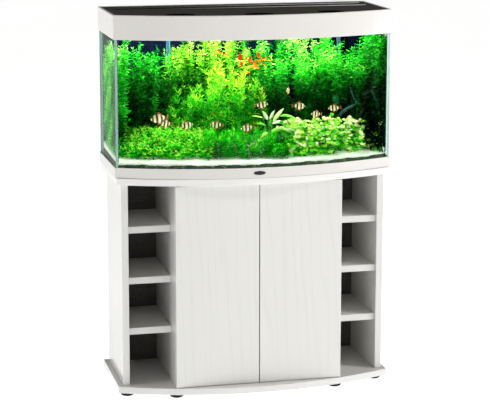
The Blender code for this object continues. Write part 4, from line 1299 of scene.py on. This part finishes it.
def make_stage():
    """A white floor and a dim sky that turns white towards the horizon."""
    n = Nodes("studio_floor")
    cloud = n.noise(0.6, 2.0)
    colour = n.mix(cloud, (228, 228, 227), (232, 232, 232))
    material = n.surface(colour=colour, rough=n.grey(cloud, (0.3, 0.55), (0.7, 0.6)), specular=0.1,
                         glow=colour, glow_strength=1.12)
    mesh = bpy.data.meshes.new("studio_floor")
    size = 30.0
    mesh.from_pydata([(-size, -size, -0.0004), (size, -size, -0.0004), (size, size, -0.0004),
                      (-size, size, -0.0004)], [], [(0, 1, 2, 3)])
    mesh.materials.append(material)
    floor = bpy.data.objects.new("studio_floor", mesh)
    bpy.context.scene.collection.objects.link(floor)
    world = bpy.data.worlds.new("studio")
    world.use_nodes = True
    tree = world.node_tree
    sky = tree.nodes["Background"]
    sky.inputs["Color"].default_value = (1.0, 1.0, 1.0, 1.0)
    parts = tree.nodes.new("ShaderNodeSeparateXYZ")
    tree.links.new(tree.nodes.new("ShaderNodeTexCoord").outputs["Generated"], parts.inputs[0])
    level = tree.nodes.new("ShaderNodeMapRange")
    level.inputs["From Min"].default_value = -0.02
    level.inputs["From Max"].default_value = 0.10
    level.inputs["To Min"].default_value = 1.0
    level.inputs["To Max"].default_value = SKY_LEVEL
    tree.links.new(parts.outputs["Z"], level.inputs["Value"])
    tree.links.new(level.outputs[0], sky.inputs["Strength"])
    bpy.context.scene.world = world


def add_area_light(name, place, target, size, power, colour=(1.0, 1.0, 1.0)):
    """A soft light at a place, turned to its target."""
    data = bpy.data.lights.new(name, "AREA")
    data.shape = "RECTANGLE"
    data.size, data.size_y = size
    data.energy = power
    data.color = colour
    light = bpy.data.objects.new(name, data)
    light.location = place
    light.rotation_euler = (Vector(target) - Vector(place)).to_track_quat("-Z", "Y").to_euler()
    bpy.context.scene.collection.objects.link(light)
    return light


def make_lights():
    """Soft lights left, in front and right, a narrow shine on the right, and the tank's own light."""
    add_area_light("softbox_left", (-4.1, -0.6, 2.8), (0, 0, 0.7), (2.0, 2.6), 66)
    add_area_light("softbox_front", (2.9, -3.4, 2.3), (0, 0, 0.55), (2.0, 2.0), 20)
    add_area_light("softbox_side", (3.1, -1.65, 2.9), (0.2, -0.1, 0.6), (0.9, 0.9), 72)
    shine = add_area_light("softbox_right", (3.35, -1.62, 0.64), (0.42, -0.12, 1.2), (0.45, 2.2), 13)
    shine.rotation_euler.rotate_axis("Z", math.radians(-75))
    add_area_light("tank_light", (0, 0.0, WATER_TOP - 0.001), (0, 0.0, 0), (0.84, 0.24), 5.6,
                   (1.0, 1.0, 0.97))


def make_camera():
    """The photograph's viewpoint: from the left, a little above the tank's lid."""
    data = bpy.data.cameras.new("camera")
    data.sensor_width = 36.0
    data.lens = 130.07
    data.shift_x = 0.0124
    data.shift_y = -0.0907
    data.clip_end = 100.0
    camera = bpy.data.objects.new("camera", data)
    camera.location = (-1.3407, -5.6050, 1.7892)
    camera.rotation_euler = (math.radians(90 - 10.055), 0.0, math.radians(-13.178))
    bpy.context.scene.collection.objects.link(camera)
    bpy.context.scene.camera = camera


def main():
    bpy.context.scene.view_settings.view_transform = "Standard"
    make_camera()
    dress_frame()
    make_bed()
    make_background_plants()
    make_feather_stems()
    make_red_stems()
    make_carpet()
    make_rosette()
    make_round_leaf_bush()
    make_thicket()
    make_root()
    make_shoal()
    make_badge()
    # black painted shade for the finger recesses and the groove on the lid
    recess_painted_shade = plastic("recess_painted_shade", (12, 11, 10), (6, 6, 5), 0.3, specular=0.0)
    make_finger_dishes(recess_painted_shade)
    make_lid_strips(recess_painted_shade)
    make_seams()
    make_stage()
    make_lights()


main()
